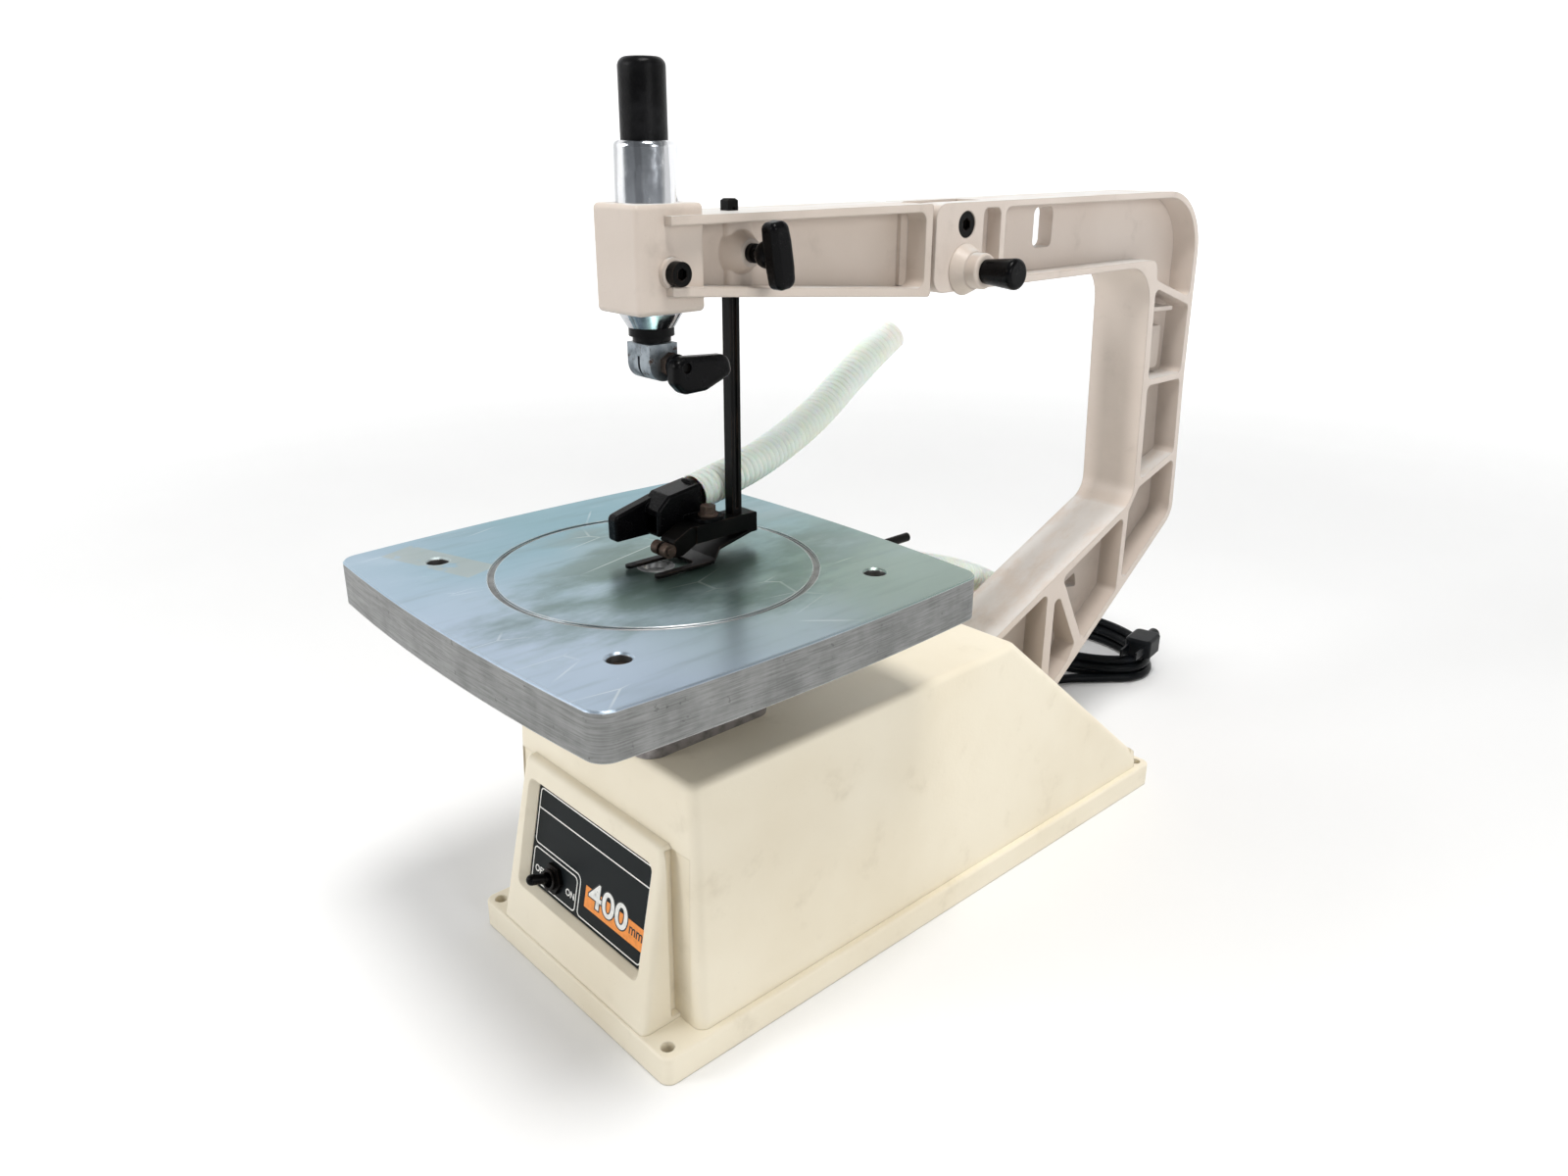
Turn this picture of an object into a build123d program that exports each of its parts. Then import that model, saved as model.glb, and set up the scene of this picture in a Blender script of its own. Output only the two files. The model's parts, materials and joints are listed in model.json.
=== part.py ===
from build123d import *
import math
import os

# Benchtop scroll saw with a one-piece rear arm, a lift-up front arm and a spring-loaded
# upper plunger.  Millimetres, +Z up, +Y to the rear, +X to the right seen from the front.
#
# Everything is drawn from the saw line: X = 0, Y = 0 is the axis of both plungers and Z = 0 is
# the bench.  On export each piece moves forward by BOLT_CENTRE_Y, which puts the row's origin
# at the centre of the four base bolts, on the bench.

# ---- driving dimensions -------------------------------------------------------------------
BOLT_CENTRE_Y = 142.0

BASE_X = 87.5
BASE_Y = (-71.5, 356.0)
BASE_TOP = 16.0
BOLT_X = 79.5
BOLT_Y = (-64.5, 348.5)
BOLT_R = 3.5
SCREW_R = 2.5
HOUSING_SCREWS = [(x, y) for x in (-66, 66) for y in (-30, 188)]
SUPPORT_SCREWS = [(x, y) for x in (-36, 36) for y in (-34, 25)]
ARM_BOLT_R = 4.0
ARM_BOLTS = [(x, y) for x in (-34, 34) for y in (222, 292)]

WALL = 3.5
HOUSING_FOOT_X = 83.4
HOUSING_TOP_X = 77.0
HOUSING_FRONT = (-47.0, -44.0)
HOUSING_TOP = 150.0
HOUSING_SLOPE = ((199.0, 150.0), (355.0, 16.0))
HOUSING_EDGE = 6.0
GLAND_XZ = (-40, 30)
GLAND_R = 7.0
BUSH_R = 9.0

WEDGE_X = 67.0
WEDGE_FOOT_Y = -70.0
WEDGE_TOP = (-50.0, 113.0)
PLATE_SIZE = (105.0, 58.0, 1.5)
PLATE_DEPTH = 5.0
RECESS_RIM = (113.0, 64.0)

TABLE_TOP = 227.3
TABLE_THICK = 22.0
TABLE_PLATE = 7.0
TABLE_SCREWS = [(x, y) for x in (-79.4, 79.4) for y in (-80.4, 71.6)]
BLADE_Y = -3.0

ARM_X = 21.5
WEB = 5.0
FORK_X = 9.0
TONGUE_X = 8.5
PIVOT = (199.6, 382.8)
PIVOT_R = 5.0
LOCK = (199.6, 359.0)
LOCK_R = 4.0
LIFT_MAX = 35.0

TUBE_R = 14.3
TUBE_Z = (351.8, 425.5)
HEAD_TOP = 399.6
PLUNGER_R = 4.5
CAP_R = 10.5

ROD_Y = 48.0
ROD_HALF = 3.0
TEE_Z = 376.0

MOTOR_Z = 70.0
SHAFT_R = 5.0
CRANK_THROW = 10.0
ROD_LENGTH = 45.0
LOWER_R = 6.0
WRIST_Z = MOTOR_Z + CRANK_THROW + ROD_LENGTH
RUN_FIT = 0.05

HOSE_R = 10.0
HOSE_BORE = 8.0
CORD_R = 3.75

WEDGE_EDGE = 3.5
SIDE_GROOVE = [(-52.4, 18.5, 1.5), (-46.9, 18.5), (-43.5, 111), (-49.0, 111, 1.2)]
SIDE_GROOVE_FLOOR = [(62.6, 16), (75, 16), (75, 114), (58.6, 114)]
TOGGLE_UV = (-29.0, -17.3)
TOGGLE_REST = -18.0
TOGGLE_PIVOT_W = 0.5
TOGGLE_LENGTH = 12.0

TABLE_SCREW_R = 3.0
TABLE_BORE_R = 5.4
RING_R = (78.6, 82.0)
INSERT_R = 9.3
REAR_PIN_R = 2.5
REAR_PIN_XZ = (37, 219)

ARM_OUTLINE = [
    (174, 394.4, 8), (452, 395, 43), (455.3, 268, 150), (463, 162.5, 18), (340, 68.4, 60),
    (310, 44.3, 12), (303, BASE_TOP), (218, BASE_TOP), (218, 105.5, 12), (405.5, 184.1, 16),
    (396, 348.3, 26), (174, 347.5, 8),
]
ARM_POCKETS = [
    [(234, 351.8, 5), (234, 391, 5), (447.6, 391, 38), (449, 323.6, 4), (403.3, 338.8, 4), (402.4, 352, 8)],
    [(403.6, 333.6, 4), (449, 318.6, 4), (450, 271, 4), (407.3, 271, 4)],
    [(407.4, 266.6, 4), (450.2, 266.6, 4), (454.3, 212, 4), (411.4, 197.8, 4)],
    [(411.5, 192.6, 4), (455.6, 206.6, 4), (457.4, 164.6, 12), (401, 121.6, 4), (401, 177, 6)],
    [(395.5, 174.4, 4), (395.5, 117.4, 4), (357, 87.8, 4), (325.5, 144, 4)],
    [(318, 140.6, 4), (347.5, 88.6, 4), (340, 76, 4), (318, 59.4, 4)],
    [(309, 137.6, 4), (309, 51.8, 4), (297, 42, 6), (297, 26, 4), (224, 26, 4), (224, 102.6, 8)],
]
ARM_WINDOW = [(283, 365, 4), (302, 365, 4), (302, 388.5, 4), (283, 388.5, 4)]
ARM_TRIANGLE = [(346, 127.2, 1.5), (364.5, 134, 1.5), (367.5, 123, 1.5)]
CHEEK_SLOT = [(214, 352, 2), (214, 391, 4), (229.4, 391, 4), (229.4, 352, 2)]
LOCK_BOSS_R = 8.5

FRONT_TOP = 394.5
FRONT_OUTLINE = [(-3, FRONT_TOP), (171, FRONT_TOP, 2), (171, 346.4, 2), (-3, 360.2)]
FRONT_POCKET = [(-10, 365), (-10, 390.5), (165.7, 390.5, 5), (165.7, 351.2, 5)]
TONGUE = [(160, 352), (160, 391), (205, 393.5, 8), (222, 376, 6), (222, 360, 8), (205, 350, 8)]

LEVER_OUTLINE = [
    (-3.5, 321, 5), (2, 315.4, 6), (15, 315.8, 6), (31, 322, 4), (28.5, 331.5, 5), (3, 333, 6),
    (-3.5, 331, 4),
]
TEE_OUTLINE = [
    (-5, 15.5, 3.5), (5.5, 15.5, 4.5), (6.5, 6, 8), (6.5, -6, 8), (5.5, -15.5, 4.5), (-5, -15.5, 3.5),
    (-5.6, -7, 6), (-5.6, 7, 6),
]
BAR_Z = (235.5, 244.5)
FOOT_Z = (228.0, 229.5)
ROLLER_YZ = (2.0, 235.0)
ROLLER_R = 3.6
NOZZLE_X = -16.0
NOZZLE_Z = 255.0
NOZZLE_BOLT_Y = 31.0

HOSE_ROUTE = [
    (-16, 35, 254.4), (-17, 62, 259), (-21, 84, 262.5), (-25.5, 105, 267.5), (-30, 125, 273),
    (-34, 144, 280), (-38, 162, 289), (-41, 179, 297.5), (-43.5, 196, 306), (-45, 213, 314.5),
]
FLOOR_HOSE_ROUTE = [
    (-45, 110, 190), (-45.5, 138, 187.5), (-44, 170, 181), (-43, 205, 170), (-42, 245, 155.5),
    (-42.5, 285, 142), (-43, 322, 125), (-47, 357, 101), (-60, 388, 73), (-82, 412, 45), (-108, 422, 22.5),
    (-138, 419, 11.5), (-168, 411, 10.3),
]
PORT_XZ = (-45, 190)

CORD_ROUTE = [
    (-40, 364, 30), (-40, 379, 30), (-40.7, 395, 24), (-43, 411, 13), (-47.5, 427, 5.4), (-53, 441, 3.9),
    (-57.5, 453, 3.9),
]
COIL_CENTRE = (-80, 505)
COIL_OUTER = (80, 54)
COIL_INNER = (58, 32)
COIL_HEIGHT = 22.0

parts = {}


# ---- drawing helpers ------------------------------------------------------------------------
def box(x, y, z):
    """Box between three (low, high) spans."""
    sizes = [high - low for low, high in (x, y, z)]
    return Pos(sum(x) / 2, sum(y) / 2, sum(z) / 2) * Box(*sizes)


def rod(axis, radius, span, at):
    """Round bar along an axis; at is its place on the two other axes."""
    middle = sum(span) / 2
    length = span[1] - span[0]
    if axis == "X":
        return Pos(middle, *at) * Rot(0, 90, 0) * Cylinder(radius, length)
    if axis == "Y":
        return Pos(at[0], middle, at[1]) * Rot(-90, 0, 0) * Cylinder(radius, length)
    return Pos(*at, middle) * Cylinder(radius, length)


def taper(axis, radii, span, at):
    """Cone frustum along an axis; radii are at the low and high end of its span."""
    middle = sum(span) / 2
    cone = Cone(radii[0], radii[1], span[1] - span[0])
    if axis == "X":
        return Pos(middle, *at) * Rot(0, 90, 0) * cone
    if axis == "Y":
        return Pos(at[0], middle, at[1]) * Rot(-90, 0, 0) * cone
    return Pos(*at, middle) * cone


def hexagon(axis, flats, span, at):
    """Hexagonal bar along an axis, by its width across flats."""
    bar = extrude(RegularPolygon(flats / 2, 6, major_radius=False), span[1] - span[0])
    if axis == "X":
        return Pos(span[0], *at) * Rot(0, 90, 0) * bar
    return Pos(*at, span[0]) * bar


def outline(points):
    """Closed face from (a, b) or (a, b, corner radius) points."""
    corners = [point[:2] for point in points]
    radii = [point[2] if len(point) == 3 else 0 for point in points]
    return make_face(FilletPolyline(*corners, radius=radii, close=True))


def across_x(points, x):
    """A (y, z) outline made solid between two X values."""
    return extrude(Plane.YZ.offset(x[0]) * outline(points), x[1] - x[0])


def upright(points, z):
    """An (x, y) outline made solid between two heights."""
    return extrude(Plane.XY.offset(z[0]) * outline(points), z[1] - z[0])


def both_sides(points, x):
    """A (y, z) outline made solid on the +X and on the -X side."""
    right = across_x(points, x)
    return right + mirror(right, about=Plane.YZ)


def spring(radius, wire, turns, z):
    """Compression spring around the saw line, of eight-sided wire."""
    height = z[1] - z[0] - 2 * wire
    path = Helix(pitch=height / turns, height=height, radius=radius)
    start = Plane(origin=path @ 0, z_dir=path % 0)
    return Pos(0, 0, z[0] + wire) * sweep(start * RegularPolygon(wire, 8), path=path)


def route_line(points, name):
    """Straight runs joined by the largest arcs that they allow."""
    vectors = [Vector(*point) for point in points]
    radii = []
    for before, here, after in zip(vectors, vectors[1:], vectors[2:]):
        run_in = here - before
        run_out = after - here
        half_turn = math.radians(run_in.get_angle(run_out)) / 2
        radii.append(0.45 * min(run_in.length, run_out.length) / math.tan(half_turn))
    line = FilletPolyline(*points, radius=radii)
    print(f"{name}: {line.length:.0f} mm long, bends", [round(radius) for radius in radii])
    return line


def tube(points, radius, name, bore=0.0):
    """Round cord, or hose with a bore, along a route."""
    line = route_line(points, name)
    start = Plane(origin=line @ 0, z_dir=line % 0)
    solid = sweep(start * Circle(radius), path=line)
    if bore:
        solid -= sweep(start * Circle(bore), path=line)
    return solid


# ---- base and housing -----------------------------------------------------------------------
def base_plate():
    plate = fillet(box((-BASE_X, BASE_X), BASE_Y, (0, BASE_TOP)).edges().filter_by(Axis.Z), 6)
    plate = fillet(plate.edges().group_by(Axis.Z)[-1], 1.5)
    for y in ((-56, 60), (68, 196), (316, 340)):
        plate -= box((-72, 72), y, (-1, 9))
    plate -= box((-72, 72), (204, 308), (-1, 7))
    for x in (-BOLT_X, BOLT_X):
        for y in BOLT_Y:
            plate -= rod("Z", BOLT_R, (-1, BASE_TOP + 1), (x, y))
    for at in ARM_BOLTS:
        plate -= rod("Z", ARM_BOLT_R, (-1, BASE_TOP + 1), at)
    for at in HOUSING_SCREWS:
        plate -= rod("Z", SCREW_R, (-1, BASE_TOP + 1), at)
    return plate


def housing_block(inset, foot):
    """Sloped and drafted block of the housing, drawn in by a wall thickness."""
    front_foot, front_top = HOUSING_FRONT
    (top_y, top_z), (rear_y, rear_z) = HOUSING_SLOPE
    fall = math.atan2(top_z - rear_z, rear_y - top_y)
    drop = inset / math.cos(fall)
    top = HOUSING_TOP - inset
    rear_top = top_y + (inset - drop) / math.tan(fall)
    rear_foot = rear_y - (drop + foot - rear_z) / math.tan(fall)
    side = [(front_foot + inset, foot), (front_top + inset, top), (rear_top, top), (rear_foot, foot)]
    wide = HOUSING_FOOT_X - inset
    narrow = HOUSING_TOP_X - inset
    front = make_face(Polyline((-wide, foot), (wide, foot), (narrow, top), (-narrow, top), close=True))
    long_bar = extrude(Plane.XZ.offset(80) * front, -(80 + 380))
    return across_x(side, (-HOUSING_FOOT_X, HOUSING_FOOT_X)) & long_bar


def wedge_block():
    """Sloping switch fairing on the front of the housing."""
    top_x = WEDGE_X - 4
    top_z = WEDGE_TOP[1] + 2
    face = outline([(-WEDGE_X, BASE_TOP), (WEDGE_X, BASE_TOP), (top_x, top_z, 9), (-top_x, top_z, 9)])
    bar = extrude(Plane.XZ.offset(30) * face, 60)
    side = [(-40, BASE_TOP), (WEDGE_FOOT_Y, BASE_TOP), WEDGE_TOP, (-40, WEDGE_TOP[1])]
    block = bar & across_x(side, (-WEDGE_X, WEDGE_X))
    rim = block.faces().sort_by(Axis.Y)[0].edges()
    return fillet(rim.filter_by(lambda edge: edge.center().Z > BASE_TOP + 1), WEDGE_EDGE)


WEDGE_TILT = math.atan2(WEDGE_TOP[0] - WEDGE_FOOT_Y, WEDGE_TOP[1] - BASE_TOP)
PLATE_PLANE = Plane(
    origin=(0, -53.76, 69.98),
    x_dir=(1, 0, 0),
    z_dir=(0, -math.cos(WEDGE_TILT), math.sin(WEDGE_TILT)),
)


def plate_recess():
    """Pocket for the switch plate, wider at its rim than at its floor."""
    width, height, thick = PLATE_SIZE
    floor = RectangleRounded(width + 0.6, height + 0.6, 2.2)
    straight = extrude(Pos(0, 0, -thick) * floor, thick + 0.2)
    flare = loft([Pos(0, 0, 0.2) * floor, Pos(0, 0, PLATE_DEPTH + 0.1) * RectangleRounded(*RECESS_RIM, 5)])
    opening = extrude(Pos(0, 0, PLATE_DEPTH + 0.1) * RectangleRounded(*RECESS_RIM, 5), 6)
    return PLATE_PLANE * (straight + flare + opening)


def housing_cover():
    body = housing_block(0, BASE_TOP)
    columns = body.edges().filter_by(lambda edge: edge.bounding_box().size.Z > 100)
    body = fillet(columns, HOUSING_EDGE)
    body = fillet(body.edges().group_by(Axis.Z)[-1], 4)
    body += wedge_block()
    inside = housing_block(WALL, BASE_TOP - 1)
    pad = box((-76, 76), (-48, -34), (BASE_TOP - 1, 120))
    void = across_x([(-59.4, 12), (-39.6, 108), (-20, 108), (-20, 12)], (-58, 54))
    body = body - (inside - pad) - void
    side = across_x(SIDE_GROOVE, (50, 80))
    groove = side & extrude(Plane.XZ.offset(30) * outline(SIDE_GROOVE_FLOOR), 40)
    body -= groove + mirror(groove, about=Plane.YZ) + plate_recess()
    body -= PLATE_PLANE * Pos(*TOGGLE_UV, 0) * Cylinder(6.2, 30)
    for x, y in HOUSING_SCREWS:
        boss = box(sorted((x - math.copysign(6, x), math.copysign(80, x))), (y - 6, y + 6), (BASE_TOP, 40))
        body += boss & housing_block(1, BASE_TOP)
        body -= rod("Z", SCREW_R, (BASE_TOP - 1, 23), (x, y))
    for x in (-BOLT_X, BOLT_X):
        boss = rod("Z", 13, (BASE_TOP, 60), (x, BOLT_Y[1])) & housing_block(0.5, BASE_TOP)
        body += boss
        body -= rod("Z", 9, (BASE_TOP - 1, 80), (x, BOLT_Y[1]))
    body -= across_x([(230, 111.7), (265, 126.4), (345, 71.9), (308, 42.1)], (-ARM_X - 0.5, ARM_X + 0.5))
    body -= rod("Z", BUSH_R + 0.3, (130, 160), (0, 0))
    body -= rod("Y", GLAND_R + 0.05, (300, 370), GLAND_XZ)
    for at in SUPPORT_SCREWS:
        body -= rod("Z", SCREW_R, (130, 160), at)
    for i in range(6):
        slot_y = 78 + 13 * i
        body -= box((-90, -60), (slot_y, slot_y + 5), (40, 92))
    return body


def build_base():
    parts["base_plate"] = base_plate()
    parts["housing_cover"] = housing_cover()
    seats = [(at, 9.0) for at in HOUSING_SCREWS] + [(at, HOUSING_TOP - WALL) for at in SUPPORT_SCREWS]
    parts["cap_screws"] = Compound([
        rod("Z", SCREW_R, (z, z + 13), at) + rod("Z", 4.5, (z - 4.5, z), at) for at, z in seats
    ])
    parts["arm_foot_bolts"] = Compound([
        rod("Z", ARM_BOLT_R, (7, 24), at) + hexagon("Z", 13, (24, 29.5), at) for at in ARM_BOLTS
    ])


# ---- switch ---------------------------------------------------------------------------------
def build_switch():
    width, height, thick = PLATE_SIZE
    plate = Pos(0, 0, -thick / 2) * Box(width, height, thick)
    plate = fillet(plate.edges().filter_by(Axis.Z), 2)
    hole = Pos(*TOGGLE_UV, 0) * Cylinder(6.0, 30)
    parts["switch_plate"] = PLATE_PLANE * (plate - hole)
    body = Pos(TOGGLE_UV[0], TOGGLE_UV[1], -21.5) * Box(13, 26, 21)
    bush = Pos(TOGGLE_UV[0], TOGGLE_UV[1], -5.5) * Cylinder(5.9, 11)
    well = Pos(TOGGLE_UV[0], TOGGLE_UV[1], -1) * Cylinder(4.3, 14)
    parts["switch_body"] = PLATE_PLANE * (body + bush - well)
    nut = extrude(RegularPolygon(7.5, 6, major_radius=False), 2.4)
    thread = Cylinder(5.9, 4.6, align=(Align.CENTER, Align.CENTER, Align.MIN))
    bezel = Pos(*TOGGLE_UV, 0) * (nut + thread - Cylinder(4.3, 20))
    parts["switch_bezel"] = PLATE_PLANE * bezel
    lever = Cone(2.2, 3.1, TOGGLE_LENGTH, align=(Align.CENTER, Align.CENTER, Align.MIN))
    lever += Pos(0, 0, TOGGLE_LENGTH) * Sphere(3.1)
    lever += Sphere(2.9) + Rot(90, 0, 0) * Cylinder(0.9, 8.2)
    swung = Pos(*TOGGLE_UV, TOGGLE_PIVOT_W) * Rot(0, TOGGLE_REST, 0) * lever
    parts["toggle_lever"] = PLATE_PLANE * swung


# ---- rear arm -------------------------------------------------------------------------------


def rear_arm():
    arm = across_x(ARM_OUTLINE, (-ARM_X, ARM_X))
    for pocket in ARM_POCKETS:
        arm -= both_sides(pocket, (WEB, ARM_X + 1))
    arm -= across_x(ARM_WINDOW, (-ARM_X, ARM_X))
    arm -= across_x(ARM_TRIANGLE, (-ARM_X, ARM_X))
    arm -= both_sides(CHEEK_SLOT, (FORK_X + 3, ARM_X + 1))
    arm -= box((-FORK_X, FORK_X), (160, 226), (340, 400))
    arm += both_sides([(404, 317), (404, 320), (436, 318.8), (436, 315.8)], (WEB, 17))
    arm += both_sides([(404, 275, 3), (436, 275, 3), (436, 305, 3), (404, 305, 3)], (WEB, 10))
    arm += rod("X", 15, (-12, -WEB), (270, 378)) & box((-ARM_X, 0), (250, 290), (353, 390))
    arm += box((-48, 48), (206, 308), (BASE_TOP, BASE_TOP + 8)) - box((-60, 60), (306, 330), (10, 40))
    for at in ARM_BOLTS:
        arm -= rod("Z", ARM_BOLT_R, (10, 40), at)
    arm -= rod("X", PIVOT_R, (-30, 30), PIVOT) + rod("X", 7.2, (16, 30), PIVOT)
    arm -= rod("X", LOCK_BOSS_R, (FORK_X - 1, 30), LOCK)
    return arm


def build_rear_arm():
    parts["rear_arm"] = rear_arm()
    bolt = rod("X", PIVOT_R, (-20.5, 16), PIVOT) + rod("X", 6.9, (16, 21), PIVOT)
    bolt -= hexagon("X", 6, (18, 30), PIVOT)
    parts["pivot_bolt"] = bolt
    boss = rod("X", LOCK_BOSS_R, (FORK_X, ARM_X), LOCK)
    boss += taper("X", (14, 10.2), (ARM_X, 29), LOCK) + rod("X", 9.6, (29, 36.5), LOCK)
    boss = fillet(boss.edges().group_by(Axis.X)[-1], 1.5)
    boss -= rod("X", LOCK_R + RUN_FIT, (0, 40), LOCK)
    parts["lock_boss"] = boss
    parts["lock_pin"] = rod("X", LOCK_R, (1, 46), LOCK)
    knob = taper("X", (6.6, 8.3), (36.8, 55.5), LOCK) + rod("X", 8.3, (55.5, 58.5), LOCK)
    knob = fillet(knob.edges().group_by(Axis.X)[-1], 2.4)
    parts["lock_knob"] = knob - rod("X", LOCK_R, (30, 46), LOCK)


# ---- table and its support --------------------------------------------------------------------
def table_face(inset):
    """Table outline with four slightly bowed edges."""
    half = 116.4 - inset
    front = -116.0 + inset
    rear = 108 - inset
    edges = [
        ThreePointArc((-half, front), (0, -121.5 + inset), (half, front)),
        ThreePointArc((half, front), (121 - inset, 0), (half, rear)),
        ThreePointArc((half, rear), (0, 114 - inset), (-half, rear)),
        ThreePointArc((-half, rear), (-121 + inset, 0), (-half, front)),
    ]
    face = make_face(edges)
    return fillet(face.vertices(), 10 - inset)


def table():
    bottom = TABLE_TOP - TABLE_THICK
    plate_bottom = TABLE_TOP - TABLE_PLATE
    body = extrude(Plane.XY.offset(bottom) * table_face(0), TABLE_THICK)
    body = chamfer(body.edges().group_by(Axis.Z)[-1], 0.8)
    hollow = extrude(Plane.XY.offset(bottom - 1) * table_face(6), plate_bottom - bottom + 1)
    left_front, left_rear, right_front, right_rear = TABLE_SCREWS
    reach = math.dist(left_front, right_rear)
    for a, b in ((left_front, right_rear), (left_rear, right_front)):
        angle = math.degrees(math.atan2(b[1] - a[1], b[0] - a[0]))
        centre = ((a[0] + b[0]) / 2, (a[1] + b[1]) / 2)
        hollow -= Pos(*centre, plate_bottom - 4) * Rot(0, 0, angle) * Box(reach, 5, 8)
    for at in TABLE_SCREWS:
        hollow -= rod("Z", 9, (bottom - 1, plate_bottom), at)
    body -= hollow
    for at in TABLE_SCREWS:
        body -= rod("Z", TABLE_SCREW_R, (bottom - 1, TABLE_TOP + 1), at)
        body -= rod("Z", TABLE_BORE_R, (TABLE_TOP - 9, TABLE_TOP + 1), at)
        body -= taper("Z", (TABLE_BORE_R, TABLE_BORE_R + 0.9), (TABLE_TOP - 0.9, TABLE_TOP), at)
    ring = rod("Z", RING_R[1], (TABLE_TOP - 1.2, TABLE_TOP + 1), (0, BLADE_Y))
    body -= ring - rod("Z", RING_R[0], (TABLE_TOP - 2, TABLE_TOP + 1), (0, BLADE_Y))
    body -= rod("Z", INSERT_R, (TABLE_TOP - 3, TABLE_TOP + 1), (0, BLADE_Y))
    body -= rod("Z", INSERT_R - 1.5, (bottom - 1, TABLE_TOP), (0, BLADE_Y))
    body -= rod("Z", 9.5, (bottom - 1, plate_bottom + 2), (0, 0))
    body -= rod("Y", REAR_PIN_R, (96, 130), REAR_PIN_XZ)
    return body


def table_support():
    bottom = TABLE_TOP - TABLE_THICK
    slab = upright([(-45, -45, 10), (45, -45, 10), (45, 36, 10), (-45, 36, 10)], (HOUSING_TOP, 156.5))
    body = fillet(slab.edges().group_by(Axis.Z)[-1], 1.5)
    body += rod("Z", 30, (HOUSING_TOP, bottom), (0, 0))
    for x, y in TABLE_SCREWS:
        angle = math.degrees(math.atan2(y, x))
        length = math.hypot(x, y)
        arm = Pos(0, 0, bottom - 6) * Rot(0, 0, angle) * Pos(length / 2, 0, 0) * Box(length, 16, 12)
        body += arm + rod("Z", 9, (bottom - 12, bottom), (x, y))
    body -= rod("Z", 25, (162, bottom + 1), (0, 0))
    body -= rod("Z", BUSH_R, (HOUSING_TOP - 1, 170), (0, 0))
    body -= box((-13, 13), (-40, -15), (168, 192))
    body -= box((-13, 13), (15, 40), (168, 192))
    for at in TABLE_SCREWS:
        body -= rod("Z", TABLE_SCREW_R, (bottom - 20, bottom + 1), at)
    for at in SUPPORT_SCREWS:
        body -= rod("Z", SCREW_R, (HOUSING_TOP - 1, 160), at)
    return body


def build_table():
    bottom = TABLE_TOP - TABLE_THICK
    parts["table"] = table()
    parts["table_support"] = table_support()
    insert = rod("Z", INSERT_R, (TABLE_TOP - 3, TABLE_TOP), (0, BLADE_Y))
    parts["table_insert"] = insert - rod("Z", 6.1, (200, 240), (0, BLADE_Y))
    parts["table_screws"] = Compound([
        rod("Z", TABLE_SCREW_R, (bottom - 12, TABLE_TOP - 9), at)
        + rod("Z", 5.0, (TABLE_TOP - 9, TABLE_TOP - 4), at)
        - hexagon("Z", 5, (TABLE_TOP - 6.5, TABLE_TOP), at)
        for at in TABLE_SCREWS
    ])
    parts["table_rear_pin"] = rod("Y", REAR_PIN_R, (98, 143), REAR_PIN_XZ)
    bush = rod("Z", BUSH_R, (HOUSING_TOP - 12, 163), (0, 0))
    parts["lower_bush"] = bush - rod("Z", LOWER_R + RUN_FIT, (130, 170), (0, 0))


# ---- motor and crank ----------------------------------------------------------------------------
def build_motor():
    stator = rod("Y", 46, (70, 150), (0, MOTOR_Z)) - rod("Y", 28, (60, 160), (0, MOTOR_Z))
    for y in ((69, 84), (136, 151)):
        stator -= rod("Y", 42, y, (0, MOTOR_Z))
    parts["motor_stator"] = stator
    shields = []
    for y in (62, 150):
        shield = rod("Y", 46, (y, y + 8), (0, MOTOR_Z)) + rod("Y", 14, (y - 4, y + 8), (0, MOTOR_Z))
        shields.append(shield - rod("Y", SHAFT_R + RUN_FIT, (y - 9, y + 12), (0, MOTOR_Z)))
    parts["motor_end_shields"] = Compound(shields)
    cradle = box((-44, 44), (74, 146), (BASE_TOP, 40)) - rod("Y", 46, (60, 160), (0, MOTOR_Z))
    cradle -= box((-26, 26), (60, 160), (BASE_TOP - 1, 21))
    parts["motor_cradle"] = cradle


def build_crank():
    shaft = rod("Y", SHAFT_R, (24, 182), (0, MOTOR_Z))
    parts["motor_rotor"] = shaft + rod("Y", 27.4, (84, 136), (0, MOTOR_Z))
    disc = rod("Y", 17, (12, 24), (0, MOTOR_Z)) + rod("Y", 9, (24, 38), (0, MOTOR_Z))
    weight = rod("Y", 27, (14, 24), (0, MOTOR_Z)) & box((-27, 27), (10, 30), (MOTOR_Z - 30, MOTOR_Z - 4))
    disc += weight
    disc -= rod("Y", SHAFT_R, (24, 40), (0, MOTOR_Z))
    disc -= rod("Y", 4.4, (11, 16), (0, MOTOR_Z + CRANK_THROW))
    parts["crank_disc"] = disc
    fan = rod("Y", 10, (164, 178), (0, MOTOR_Z)) + rod("Y", 36, (164, 166), (0, MOTOR_Z))
    for i in range(9):
        blade = Pos(0, 171.5, MOTOR_Z) * Rot(0, 40 * i, 0) * Pos(22, 0, 0) * Rot(0, 20, 0) * Box(26, 11, 1.6)
        fan += blade
    parts["cooling_fan"] = fan - rod("Y", SHAFT_R, (150, 190), (0, MOTOR_Z))


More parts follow.
